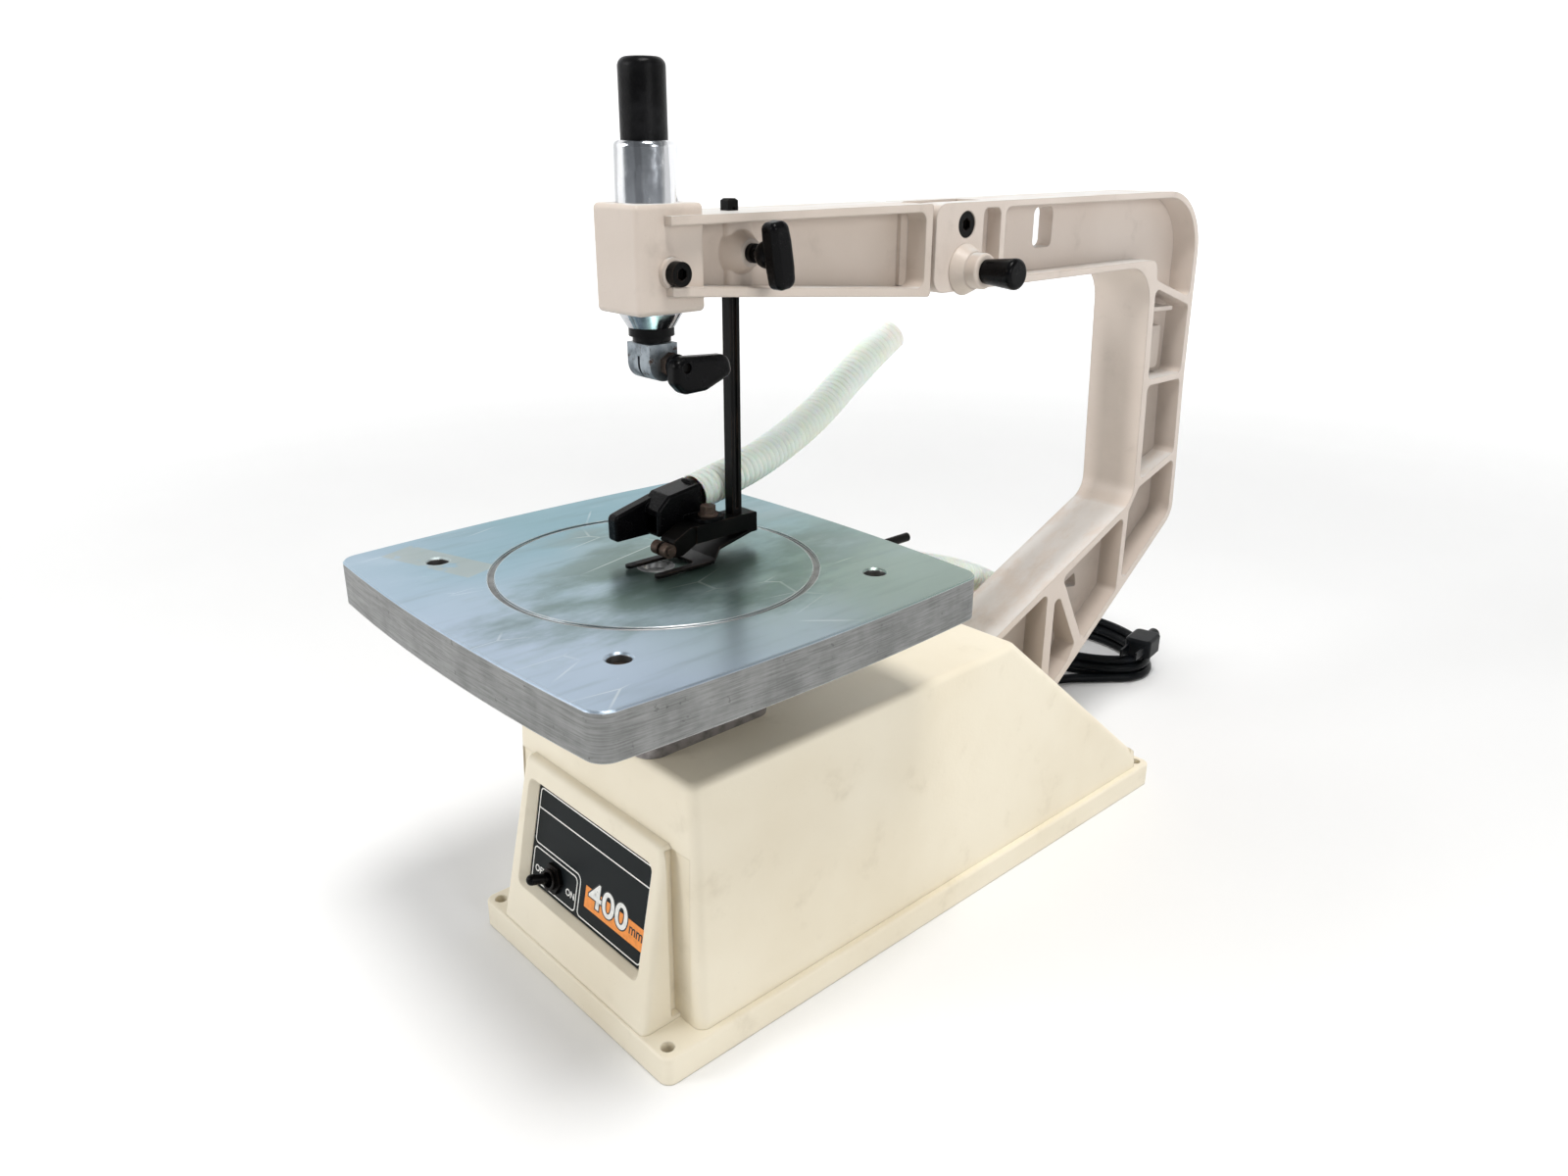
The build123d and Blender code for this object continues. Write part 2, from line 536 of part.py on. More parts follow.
def build_lower_plunger():
    fork = box((-8, 8), (-8, 8), (WRIST_Z - 8, WRIST_Z + 9)) & rod("Z", 9.5, (100, 150), (0, 0))
    fork -= box((-10, 10), (-3.4, 3.4), (WRIST_Z - 12, WRIST_Z + 6.5))
    plunger = fork + rod("Z", LOWER_R, (WRIST_Z + 9, 184), (0, 0))
    plunger -= rod("Y", 3, (-12, 12), (0, WRIST_Z))
    parts["lower_plunger"] = plunger
    parts["wrist_pin"] = rod("Y", 3, (-8, 8), (0, WRIST_Z))
    clamp = box((-7, 7), (-8, 7), (184, 202)) - box((-0.8, 0.8), (-9, 0.5), (187, 203))
    clamp -= rod("X", 2.0, (-2, 12), (BLADE_Y, 195))
    parts["lower_clamp"] = clamp
    screw_at = (BLADE_Y, 195)
    parts["lower_clamp_screw"] = rod("X", 2.0, (0.8, 7), screw_at) + rod("X", 4, (7, 11), screw_at)


def build_connecting_rod():
    low = MOTOR_Z + CRANK_THROW
    link = rod("Y", 9, (-3, 3), (0, low)) + rod("Y", 6.2, (-3, 3), (0, WRIST_Z))
    link += box((-3.5, 3.5), (-2.2, 2.2), (low, WRIST_Z))
    link -= rod("Y", 3 + RUN_FIT, (-5, 5), (0, WRIST_Z))
    link -= rod("Y", 4, (-5, 5), (0, low))
    parts["connecting_rod"] = link
    parts["crank_pin"] = rod("Y", 4, (-5, 11.5), (0, low)) + rod("Y", 6, (-6.5, -3), (0, low))


# ---- front arm ----------------------------------------------------------------------------------


def lock_slot():
    """Arc slot in the tongue, centred on the pivot, that the lock pin runs in as the arm lifts."""
    reach = PIVOT[1] - LOCK[1]
    half = LOCK_R + 0.35
    turn = math.radians(LIFT_MAX)
    far = reach + half + 5
    through = (-20, 20)
    last = (PIVOT[0] + reach * math.sin(turn), PIVOT[1] - reach * math.cos(turn))
    ring = rod("X", reach + half, through, PIVOT) - rod("X", reach - half, through, PIVOT)
    below = (PIVOT[0], PIVOT[1] - far)
    beside = (PIVOT[0] + far * math.tan(turn), PIVOT[1] - far)
    sector = across_x([PIVOT, below, beside], through)
    return (ring & sector) + rod("X", half, through, LOCK) + rod("X", half, through, last)


def front_arm():
    arm = across_x(FRONT_OUTLINE, (-ARM_X, ARM_X))
    arm -= both_sides(FRONT_POCKET, (WEB + 1, ARM_X + 1))
    boss = upright([(-9, 39, 4), (9, 39, 4), (9, 57, 4), (-9, 57, 4)], (357, FRONT_TOP))
    boss += taper("X", (12.5, 6.5), (WEB, 16), (ROD_Y, TEE_Z))
    arm += boss
    head = box((-16.7, 16.7), (-18.5, 19.5), (TUBE_Z[0], HEAD_TOP))
    arm += fillet(head.edges(), 2.5)
    arm += across_x(TONGUE, (-TONGUE_X, TONGUE_X))
    arm += rod("X", 7, (16, 19.5), (0, 370))
    arm -= rod("Z", TUBE_R, (340, 420), (0, 0))
    arm -= rod("X", 3, (0, 30), (0, 370))
    arm -= box((-3.1, 3.1), (ROD_Y - 3.1, ROD_Y + 3.1), (340, 410))
    arm -= rod("X", 2.8, (0, 30), (ROD_Y, TEE_Z))
    arm -= rod("X", PIVOT_R + 0.06, (-20, 20), PIVOT)
    return arm - lock_slot()


def build_front_arm():
    parts["front_arm"] = front_arm()
    shell = rod("Z", TUBE_R, TUBE_Z, (0, 0))
    shell = fillet(shell.edges().group_by(Axis.Z)[-1], 2.5)
    shell -= rod("Z", 12.3, (340, 422.5), (0, 0)) + rod("Z", CAP_R + 0.08, (420, 430), (0, 0))
    parts["spring_tube"] = shell
    nut = taper("Z", (11.2, 15.3), (345, TUBE_Z[0]), (0, 0))
    parts["tube_nut"] = nut - rod("Z", 5.5, (340, 360), (0, 0))
    bush = rod("Z", 10.7, (341, 345), (0, 0)) + rod("Z", 9, (338.4, 341), (0, 0))
    parts["tube_bush"] = bush - rod("Z", PLUNGER_R + RUN_FIT, (330, 350), (0, 0))
    screw = rod("X", 3, (14.5, 19.5), (0, 370)) + rod("X", 5.5, (19.5, 24.5), (0, 370))
    parts["tube_clamp_screw"] = screw - hexagon("X", 5, (21.5, 30), (0, 370))
    parts["return_spring"] = spring(8.6, 1.1, 8, (TUBE_Z[0] + 0.1, 414.8))


def build_upper_plunger():
    cap = fillet(rod("Z", CAP_R, (415, 459), (0, 0)).edges().group_by(Axis.Z)[-1], 4)
    parts["press_cap"] = cap - rod("Z", PLUNGER_R, (410, 440), (0, 0))
    parts["upper_plunger"] = rod("Z", PLUNGER_R, (334, 440), (0, 0))
    block = across_x([(-8, 320.5, 8), (-8, 337.8), (8, 337.8), (8, 320.5)], (-8.7, 8.7))
    block -= box((-0.8, 0.8), (-9, -1), (315, 332))
    block -= rod("X", 2.5, (-12, 12), (3, 328)) + rod("Z", PLUNGER_R, (334, 345), (0, 0))
    parts["upper_clamp"] = block
    screw = rod("X", 2.5, (-8.7, 21), (3, 328)) + hexagon("X", 9, (-13, -8.7), (3, 328))
    parts["clamp_screw"] = screw
    nut = hexagon("X", 10, (8.7, 13), (3, 328)) - rod("X", 2.5, (0, 30), (3, 328))
    parts["clamp_nut"] = nut
    grip = across_x(LEVER_OUTLINE, (13.6, 22.6))
    lever = fillet(grip.edges().filter_by(lambda edge: edge.bounding_box().size.X < 0.1), 3)
    lever += rod("X", 5.5, (13.1, 15), (3, 328))
    parts["clamp_lever"] = lever - rod("X", 2.5 + RUN_FIT, (0, 30), (3, 328))


def build_tee():
    at = (ROD_Y, TEE_Z)
    parts["tee_screw"] = rod("X", 2.75, (3.3, 33), at) + rod("X", 4.5, (16.3, 19), at)
    wing = across_x(TEE_OUTLINE, (-5, 5))
    wing = fillet(wing.edges().filter_by(lambda edge: edge.bounding_box().size.X < 0.1), 3)
    hub = Pos(27.6, ROD_Y, TEE_Z) * Rot(0, 90, 0) * Sphere(6.5)
    knob = Pos(34.5, ROD_Y, TEE_Z) * Rot(10, 0, 0) * wing + hub
    knob += rod("X", 4, (21.5, 28), (ROD_Y, TEE_Z))
    parts["tee_knob"] = knob - rod("X", 2.75, (10, 33), (ROD_Y, TEE_Z))


# ---- hold-down ----------------------------------------------------------------------------------
def build_hold_down():
    half = ROD_HALF
    low, high = BAR_Z
    shaft = box((-half, half), (ROD_Y - half, ROD_Y + half), (high, 400))
    shaft = chamfer(shaft.edges().group_by(Axis.Z)[-1], 1)
    groove = box((half - 0.8, half + 1), (ROD_Y - 1, ROD_Y + 1), (high + 3, 396))
    parts["hold_down_rod"] = shaft - groove
    bar = across_x([(18.5, low), (18.5, high, 1), (58.5, high, 1), (58.5, low)], (-6.4, 6.4))
    nose = [(19, low), (19, high), (15.5, high, 1), (5.6, 239.9, 1), (4.2, 238, 0.5), (4.2, 231.6, 1)]
    nose += [(10, 231, 2)]
    block = across_x(nose, (-5.6, 5.6))
    for side in (-1, 1):
        x = sorted((side * 0.7, side * 7))
        block -= rod("X", ROLLER_R + 0.5, x, ROLLER_YZ)
    block += across_x([(8, 232.2), (2, 232.4, 2), (-0.6, 235, 2), (2, 238.6, 1), (8, 239.5)], (-0.7, 0.7))
    bar += block
    bar -= rod("X", 1.5, (-9, 9), ROLLER_YZ) + rod("Z", 2.5, (220, 260), (0, NOZZLE_BOLT_Y))
    parts["hold_down_bar"] = bar
    sole, plate = FOOT_Z
    thick = plate - sole
    side = [(60, low - 0.1), (54, low - 0.1), (22, plate), (-17, plate), (-17, sole)]
    side += [(22.4, sole), (54.4, low - 0.1 - thick), (60, low - 0.1 - thick)]
    plan = upright([
        (-6, 60, 2), (6, 60, 2), (8, 32, 3), (18, 20, 2), (18, -15, 1.8), (14, -15, 1.8), (14, 11, 3),
        (-3, 11, 3), (-3, -17, 1.9), (-7.4, -17, 1.9), (-7.4, 22, 3), (-6, 34, 3),
    ], (220, 245))
    parts["hold_down_foot"] = across_x(side, (-9, 19)) & plan
    pin = rod("X", 1.5, (-6.4, 6.4), ROLLER_YZ)
    pin += rod("X", 2.2, (-7, -6.2), ROLLER_YZ) + rod("X", 2.2, (6.2, 7), ROLLER_YZ)
    parts["roller_pin"] = pin
    for name, x in (("guide_roller_left", (-5.9, -1.1)), ("guide_roller_right", (1.1, 5.9))):
        roller = rod("X", ROLLER_R, x, ROLLER_YZ) - rod("X", 1.5 + RUN_FIT, (-9, 9), ROLLER_YZ)
        parts[name] = roller
    at = (0, NOZZLE_BOLT_Y)
    washer = rod("Z", 5.2, (246.7, 247.6), at)
    parts["nozzle_bolt"] = hexagon("Z", 7, (247.6, 252), at) + washer + rod("Z", 2.5, (236.5, 246.7), at)


def dust_nozzle():
    side = [(5, 238, 1.5), (5.6, 251.8, 1.5), (13, 258.4, 2), (34, 261.5, 1), (34, 246.5, 2), (26, 238, 3)]
    shell = across_x(side, (-24.4, -7.8))
    body = fillet(shell.edges().filter_by(lambda edge: edge.bounding_box().size.X < 0.1), 1.4)
    body += rod("Y", 7.75, (30, 43), (NOZZLE_X, NOZZLE_Z))
    wing_side = [(13, 236.6, 1), (13, 256.6, 1), (5.4, 254.6, 2), (-5, 252, 3), (-13, 249.8, 3)]
    wing_side.append((-13, 236.6, 2))
    wing = across_x(wing_side, (-26, -19))
    body += fillet(wing.edges().filter_by(lambda edge: edge.bounding_box().size.X < 0.1), 1.2)
    chamber = across_x([(8, 240), (8, 250), (13, 255), (28.5, 255), (28.5, 240)], (-22.4, -9.6))
    mouth = box((-19, -9.6), (0, 10), (240, 249))
    body -= chamber + mouth + rod("Y", 4.5, (27, 35), (NOZZLE_X, NOZZLE_Z))
    body -= rod("Y", 6, (34, 50), (NOZZLE_X, NOZZLE_Z))
    ear = upright([(-10, 21, 1), (6.5, 23, 4), (6.5, 39, 4), (-10, 39, 1)], (244.6, 246.7))
    return body + (ear - rod("Z", 2.5, (240, 260), (0, NOZZLE_BOLT_Y)))


def build_dust():
    parts["dust_nozzle"] = dust_nozzle()
    parts["nozzle_hose"] = tube(HOSE_ROUTE, HOSE_R, "nozzle hose", HOSE_BORE)
    port = rod("Y", 7.75, (62, 114), PORT_XZ) + rod("Y", 9.8, (107, 110), PORT_XZ)
    port += box((-53, -37), (80, 96), (190, TABLE_TOP - TABLE_PLATE))
    parts["dust_port"] = port - rod("Y", 6, (30, 130), PORT_XZ)
    parts["floor_hose"] = tube(FLOOR_HOSE_ROUTE, HOSE_R, "floor hose", HOSE_BORE)


# ---- cord ---------------------------------------------------------------------------------------
def build_cord():
    gland = rod("Y", GLAND_R, (322, 340), GLAND_XZ) + taper("Y", (GLAND_R, 4.6), (340, 364), GLAND_XZ)
    parts["cord_gland"] = gland + rod("Y", 9, (319, 322), GLAND_XZ)
    parts["power_cord"] = tube(CORD_ROUTE, CORD_R, "power cord")
    ring = Ellipse(*COIL_OUTER) - Ellipse(*COIL_INNER)
    coil = Pos(*COIL_CENTRE, 0) * extrude(ring, COIL_HEIGHT)
    parts["cord_coil"] = fillet(coil.edges(), 5)
    plug = box((-14, 14), (-11, 11), (0, 15))
    plug = fillet(plug.edges().filter_by(Axis.Z), 5)
    plug = fillet(plug.edges().group_by(Axis.Z)[-1], 2.5)
    plug += rod("X", 5, (12, 26), (0, 7.5))
    for y in (-6.35, 6.35):
        plug += box((-31, -13), (y - 0.75, y + 0.75), (4.4, 10.6))
    parts["plug"] = Pos(-14, 508, COIL_HEIGHT) * Rot(0, 0, 100) * plug


# ---- build and export -----------------------------------------------------------------------------
def main():
    build_base()
    build_switch()
    build_rear_arm()
    build_table()
    build_motor()
    build_crank()
    build_lower_plunger()
    build_connecting_rod()
    build_front_arm()
    build_upper_plunger()
    build_tee()
    build_hold_down()
    build_dust()
    build_cord()
    os.makedirs("parts", exist_ok=True)
    for name, shape in parts.items():
        export_step(Pos(0, -BOLT_CENTRE_Y, 0) * shape, f"parts/{name}.step")
    print(len(parts), "parts")


main()
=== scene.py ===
# %% [markdown]
# # A benchtop scroll saw
#
# This saw cuts thin wood with a fret blade that runs up and down between two clamps.  A cream
# housing holds the motor, a cast arm reaches round the work, and a sprung plunger on the front
# of the arm keeps the blade tight.  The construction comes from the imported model, so this lesson
# only dresses it: every surface gets a finish, and what a drawing leaves out, the printing on
# the switch plate and the ribs of the hoses, is modelled on top.

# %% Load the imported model
import json
import math

import bmesh
import bpy
from mathutils import Matrix, Vector

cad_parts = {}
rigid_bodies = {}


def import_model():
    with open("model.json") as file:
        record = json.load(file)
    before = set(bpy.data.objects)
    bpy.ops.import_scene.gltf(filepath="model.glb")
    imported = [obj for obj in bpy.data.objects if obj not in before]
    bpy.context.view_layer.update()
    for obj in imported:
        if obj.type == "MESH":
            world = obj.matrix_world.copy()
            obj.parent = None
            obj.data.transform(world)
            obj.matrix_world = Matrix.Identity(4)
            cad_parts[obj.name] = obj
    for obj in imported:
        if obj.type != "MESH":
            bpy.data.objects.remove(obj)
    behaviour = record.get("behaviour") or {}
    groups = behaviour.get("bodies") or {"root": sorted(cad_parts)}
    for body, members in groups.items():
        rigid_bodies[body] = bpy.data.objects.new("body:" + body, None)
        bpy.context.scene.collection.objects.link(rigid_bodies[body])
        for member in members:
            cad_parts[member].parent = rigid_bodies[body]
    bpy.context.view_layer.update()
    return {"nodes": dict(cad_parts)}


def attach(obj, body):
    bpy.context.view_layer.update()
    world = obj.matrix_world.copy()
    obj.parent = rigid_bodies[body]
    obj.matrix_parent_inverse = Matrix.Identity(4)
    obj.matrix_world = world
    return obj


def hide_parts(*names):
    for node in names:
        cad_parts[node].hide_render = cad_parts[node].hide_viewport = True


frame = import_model()
nodes = frame["nodes"]

# %% [markdown]
# ## The saw line
#
# Sizes are easiest to give in millimetres from the saw line, the axis of both plungers.  The
# model's origin is at the middle of the base bolts, 142 mm behind it, so one small function
# turns a place from the saw line into metres in the model.

# %% Millimetres from the saw line
BOLT_CENTRE_Y = 142.0
MM = 0.001


def at(x, y, z):
    """A point in the model, from millimetres measured from the saw line."""
    return Vector((x * MM, (y - BOLT_CENTRE_Y) * MM, z * MM))


print("saw line at", at(0, 0, 0))

# %% [markdown]
# ## Camera
#
# The camera stands at the front right, a little above the saw, and close to it, so the table
# spreads and the far arm shrinks.  Its turn is built from three angles: how far round the saw
# it stands, how far it looks down, and a slight tilt of the horizon.

# %% Camera
CAMERA_ROUND = math.radians(47.55)
CAMERA_DOWN = math.radians(21.06)
CAMERA_TILT = math.radians(0.13)
CAMERA_PLACE = (443.95, -322.31, 424.73)

lens = bpy.data.cameras.new("camera")
lens.lens = 26.58
lens.sensor_width = 36.0
lens.clip_start = 0.01
camera = bpy.data.objects.new("camera", lens)
turn = Matrix.Rotation(CAMERA_ROUND, 4, "Z") @ Matrix.Rotation(math.pi / 2 - CAMERA_DOWN, 4, "X")
place = Matrix.Translation(at(*CAMERA_PLACE))
camera.matrix_world = place @ turn @ Matrix.Rotation(CAMERA_TILT, 4, "Z")
bpy.context.scene.collection.objects.link(camera)
bpy.context.scene.camera = camera
print("camera at", camera.matrix_world.translation)

# %% [markdown]
# ## Cord and hoses
#
# A cord is one smooth line with a round section.  The line is a NURBS curve, which passes near
# its control points without any corner.  Its order is set after its points are added, because
# a curve with too few points falls back to straight runs.

# %% A smooth route through chosen points
STEPS_PER_POINT = 12


def route(name, points, thickness=0.0):
    """A NURBS curve object near the given points, which are in millimetres from the saw line."""
    curve = bpy.data.curves.new(name, "CURVE")
    curve.dimensions = "3D"
    curve.resolution_u = STEPS_PER_POINT
    curve.bevel_depth = thickness
    curve.bevel_resolution = 5
    curve.use_fill_caps = True
    spline = curve.splines.new("NURBS")
    spline.points.add(len(points) - 1)
    for point, where in zip(spline.points, points):
        point.co = (*at(*where), 1.0)
    spline.order_u = 3
    spline.use_endpoint_u = True
    piece = bpy.data.objects.new(name, curve)
    bpy.context.scene.collection.objects.link(piece)
    return piece


def line_of(piece):
    """Points along a curve object that has no thickness, and the length of that line."""
    evaluated = piece.evaluated_get(bpy.context.evaluated_depsgraph_get())
    mesh = bpy.data.meshes.new_from_object(evaluated)
    points = [vertex.co.copy() for vertex in mesh.vertices]
    bpy.data.meshes.remove(mesh)
    length = sum((b - a).length for a, b in zip(points, points[1:]))
    return points, length


# %% [markdown]
# The mains cord leaves the back of the housing, drops to the bench and lies there in a loose
# oval coil.  The turns are worked out by a loop: each one is a little smaller or larger than
# the last and climbs on the ones below, as a cord does when it is dropped in loops.  The change
# from one turn to the next is made in the last part of the turn.

# %% Mains cord
CORD_R = 3.75
COIL_X, COIL_Y = -80, 505
TURNS = 5
POINTS_PER_TURN = 14
CHANGE_AT = 0.7
cord_points = [
    (-40, 364, 30), (-40, 379, 30), (-40.7, 395, 24), (-43, 411, 13), (-47.5, 427, 5.4), (-53, 441, 3.9),
]
TURN_SIZES = [(72, 46), (64, 38), (70, 45), (62.5, 37.5), (67, 42)]
TURN_HEIGHTS = [3.9, 4.2, 11.4, 12.2, 18.0]
for step in range(TURNS * POINTS_PER_TURN - 3):
    angle = math.radians(-66) + 2 * math.pi * (step + 1) / POINTS_PER_TURN
    turn_number = step / POINTS_PER_TURN
    low = min(int(turn_number), TURNS - 1)
    high = min(low + 1, TURNS - 1)
    blend = max(0.0, (turn_number - low - CHANGE_AT) / (1 - CHANGE_AT))
    wide = TURN_SIZES[low][0] * (1 - blend) + TURN_SIZES[high][0] * blend
    deep = TURN_SIZES[low][1] * (1 - blend) + TURN_SIZES[high][1] * blend
    high_up = TURN_HEIGHTS[low] * (1 - blend) + TURN_HEIGHTS[high] * blend
    cord_points.append((COIL_X + wide * math.cos(angle), COIL_Y + deep * math.sin(angle), high_up))

bare_cord = route("cord_line", cord_points)
bpy.context.view_layer.update()
cord_line, cord_length = line_of(bare_cord)
bpy.data.objects.remove(bare_cord)
power_cord = route("mains_cord", cord_points, CORD_R * MM)
print(f"cord {cord_length:.3f} m")

# %% [markdown]
# ## Shader maths
#
# A finish is a small network of nodes.  Wrapping a node's socket in a class lets Python's own
# operators add the Math nodes, so a mask reads like a formula.  Every other node comes from one
# method of the finish, which takes the node's type, its settings and what goes into it.

# %% A socket that understands + - * /
class Value:
    """One output socket of a material's node tree."""

    def __init__(self, tree, socket):
        self.tree = tree
        self.socket = socket

    def math(self, operation, *others, clamp=False):
        node = self.tree.nodes.new("ShaderNodeMath")
        node.operation = operation
        node.use_clamp = clamp
        for slot, value in zip(node.inputs, (self, *others)):
            feed(self.tree, slot, value)
        return Value(self.tree, node.outputs[0])

    def reflected(self, operation, other):
        node = self.tree.nodes.new("ShaderNodeMath")
        node.operation = operation
        feed(self.tree, node.inputs[0], other)
        feed(self.tree, node.inputs[1], self)
        return Value(self.tree, node.outputs[0])

    def __add__(self, other):
        return self.math("ADD", other)

    def __radd__(self, other):
        return self.reflected("ADD", other)

    def __sub__(self, other):
        return self.math("SUBTRACT", other)

    def __rsub__(self, other):
        return self.reflected("SUBTRACT", other)

    def __mul__(self, other):
        return self.math("MULTIPLY", other)

    def __rmul__(self, other):
        return self.reflected("MULTIPLY", other)

    def __truediv__(self, other):
        return self.math("DIVIDE", other)

    def __gt__(self, other):
        return self.math("GREATER_THAN", other)

    def __lt__(self, other):
        return self.math("LESS_THAN", other)

    def __abs__(self):
        return self.math("ABSOLUTE")

    def ramp(self, low, high):
        """0 below low, 1 above high, and a smooth change between."""
        node = self.tree.nodes.new("ShaderNodeMapRange")
        node.interpolation_type = "SMOOTHSTEP"
        for slot, value in zip(node.inputs, (self, low, high, 0.0, 1.0)):
            feed(self.tree, slot, value)
        return Value(self.tree, node.outputs[0])


def feed(tree, slot, value):
    """Link a Value to an input, or set the input to a plain number, colour or vector."""
    if isinstance(value, Value):
        tree.links.new(value.socket, slot)
    else:
        slot.default_value = value


def add_node(tree, kind, settings, inputs, output):
    """Any node: its settings are set first, then its inputs by name or number."""
    node = tree.nodes.new(kind)
    for key, setting in (settings or {}).items():
        setattr(node, key, setting)
    for key, value in (inputs or {}).items():
        feed(tree, node.inputs[key], value)
    return Value(tree, node.outputs[output])


# %% A finish under construction
def srgb(red, green, blue):
    """A colour from the 0 to 255 numbers of a paint chart."""
    linear = []
    for number in (red, green, blue):
        share = number / 255
        linear.append(((share + 0.055) / 1.055) ** 2.4 if number > 10 else share / 12.92)
    return (*linear, 1.0)


class Finish:
    """A material with one Principled shader.  Fixed numbers go on its own sockets."""

    def __init__(self, name, **fixed):
        self.material = bpy.data.materials.new(name)
        self.material.use_nodes = True
        self.tree = self.material.node_tree
        self.shader = self.tree.nodes["Principled BSDF"]
        for socket, number in fixed.items():
            self.shader.inputs[socket.replace("_", " ")].default_value = number
        self.place = self.node("ShaderNodeTexCoord", output="Object")

    def node(self, kind, settings=None, inputs=None, output=0):
        return add_node(self.tree, kind, settings, inputs, output)

    def stretched(self, stretch):
        """The place on the piece; a small number in stretch draws a pattern out along that axis."""
        if not stretch:
            return self.place
        return self.node("ShaderNodeMapping", None, {"Vector": self.place, "Scale": stretch})

    def noise(self, scale, detail=4.0, rough=0.55, stretch=None):
        """Soft cloudy noise."""
        inputs = {"Vector": self.stretched(stretch), "Scale": scale, "Detail": detail, "Roughness": rough}
        return self.node("ShaderNodeTexNoise", None, inputs)

    def cells(self, scale, feature="F1", stretch=None):
        """Distance within a pattern of random cells."""
        inputs = {"Vector": self.stretched(stretch), "Scale": scale}
        return self.node("ShaderNodeTexVoronoi", {"feature": feature}, inputs)

    def mix(self, amount, first, second):
        """Colour from first to second as amount goes from 0 to 1."""
        settings = {"data_type": "RGBA"}
        return self.node("ShaderNodeMix", settings, {0: amount, 6: first, 7: second}, output=2)

    def axes(self, where=None):
        """The x, y and z of a place as three values."""
        split = self.tree.nodes.new("ShaderNodeSeparateXYZ")
        feed(self.tree, split.inputs[0], where or self.place)
        return [Value(self.tree, socket) for socket in split.outputs]

    def edges(self, radius):
        """Normal with its edges rounded off, and a mask that is 1 along the edges."""
        rounded = self.node("ShaderNodeBevel", {"samples": 4}, {"Radius": radius})
        flat = self.node("ShaderNodeNewGeometry", output="Normal")
        dot = {"operation": "DOT_PRODUCT"}
        agree = self.node("ShaderNodeVectorMath", dot, {0: rounded, 1: flat}, output=1)
        return rounded, (1.0 - agree).ramp(0.02, 0.22)

    def bump(self, height, strength, distance, normal=None):
        """A normal that follows a height, on top of another normal if there is one."""
        inputs = {"Height": height, "Strength": strength, "Distance": distance}
        if normal:
            inputs["Normal"] = normal
        return self.node("ShaderNodeBump", None, inputs)

    def done(self, **changing):
        """Connect what changes over the surface, and give the material."""
        for socket, value in changing.items():
            feed(self.tree, self.shader.inputs[socket.replace("_", " ")], value)
        return self.material


def dress(finish, *names):
    """Give CAD nodes a finish in place of the plain one that they came with."""
    for name in names:
        mesh = nodes[name].data
        mesh.materials.clear()
        mesh.materials.append(finish)
    print(finish.name, "on", len(names), "nodes")


# %% [markdown]
# ## Painted castings
#
# The housing is sprayed cream and the arm a pinker beige.  Both paints lie over a sand-cast
# surface, so they have a fine orange peel, a slow unevenness under it, and specks of dust.  A
# real casting has no sharp edge anywhere: a Bevel node rounds the edges for the light only, and
# the same node gives a mask, used to rub the paint thin and slightly darker along them.  The
# arm's upward faces get a painted pale grey sheen, broken into scuff marks, and painted shade
# darkens the lower pockets between its flanges.

# %% Paint
FLANGE_EDGE = 20.5 * MM
POCKETS_UP_TO = 345 * MM


def cast_paint(name, fresh, aged, grime_and_shade, gloss, rubbed=0.0, painted_pocket_shade=0.0):
    """Sprayed paint on a casting; rubbed paints a pale sheen in scuff marks on what faces up, and the last
    amount paints shade into the lower pockets.
    """
    paint = Finish(name, Specular_IOR_Level=0.5)
    rounded, edge = paint.edges(0.0012)
    slow = paint.noise(9.0, 3.0)
    drift = paint.noise(38.0, 5.0, 0.6)
    peel = paint.noise(900.0, 2.0, 0.5)
    sand = paint.noise(260.0, 4.0, 0.6)
    specks = paint.cells(420.0).ramp(0.10, 0.05) * (paint.noise(60.0, 2.0) > 0.63)
    colour = paint.mix(slow.ramp(0.35, 0.75), fresh, aged)
    colour = paint.mix(drift.ramp(0.56, 0.80) * 0.22, colour, grime_and_shade)
    colour = paint.mix(specks * 0.45, colour, grime_and_shade)
    colour = paint.mix(edge * 0.16, colour, grime_and_shade)
    # Painted sheen: faces that point up are lightened to a pale grey, broken into scuff marks.
    if rubbed:
        upward_sheen = paint.axes(paint.node("ShaderNodeNewGeometry", output="Normal"))[2].ramp(0.80, 0.97)
        scuffed_sheen = paint.noise(55.0, 5.0, 0.7, stretch=(1.0, 0.25, 1.0)).ramp(0.34, 0.58)
        colour = paint.mix(upward_sheen * scuffed_sheen * rubbed, colour, srgb(216, 217, 216))
    # Painted shade: the pockets between the flanges are darkened towards the bottom of the arm.
    if painted_pocket_shade:
        x, _, z = paint.axes()
        deep = (FLANGE_EDGE - abs(x)).ramp(0.0, 0.014)
        low = (POCKETS_UP_TO - z).ramp(0.0, 0.08)
        colour = paint.mix(deep * low * (0.75 + 0.5 * drift) * painted_pocket_shade, colour, grime_and_shade)
    rough = gloss + 0.10 * drift + 0.06 * peel
    height = 0.55 * peel + 0.9 * sand + 2.0 * drift
    normal = paint.bump(height, 0.16, 0.0006, rounded)
    return paint.done(Base_Color=colour, Roughness=rough, Normal=normal)


cream = cast_paint("cream_paint", srgb(238, 229, 208), srgb(230, 219, 195), srgb(170, 155, 126), 0.36)
# Both arm paints get a painted sheen on their upward faces.
beige = cast_paint("arm_beige_paint", srgb(208, 195, 184), srgb(199, 186, 174), srgb(120, 108, 96),
                   0.34, 0.7)
# The rear arm's paint also has painted shade in its lower pockets.
pocket_shaded_beige = cast_paint("rear_arm_paint", srgb(212, 200, 190), srgb(203, 190, 179), srgb(112, 101, 90),
                       0.34, 0.7, 0.4)
dress(cream, "base_plate", "housing_cover")
dress(beige, "front_arm", "lock_boss")
dress(pocket_shaded_beige, "rear_arm")
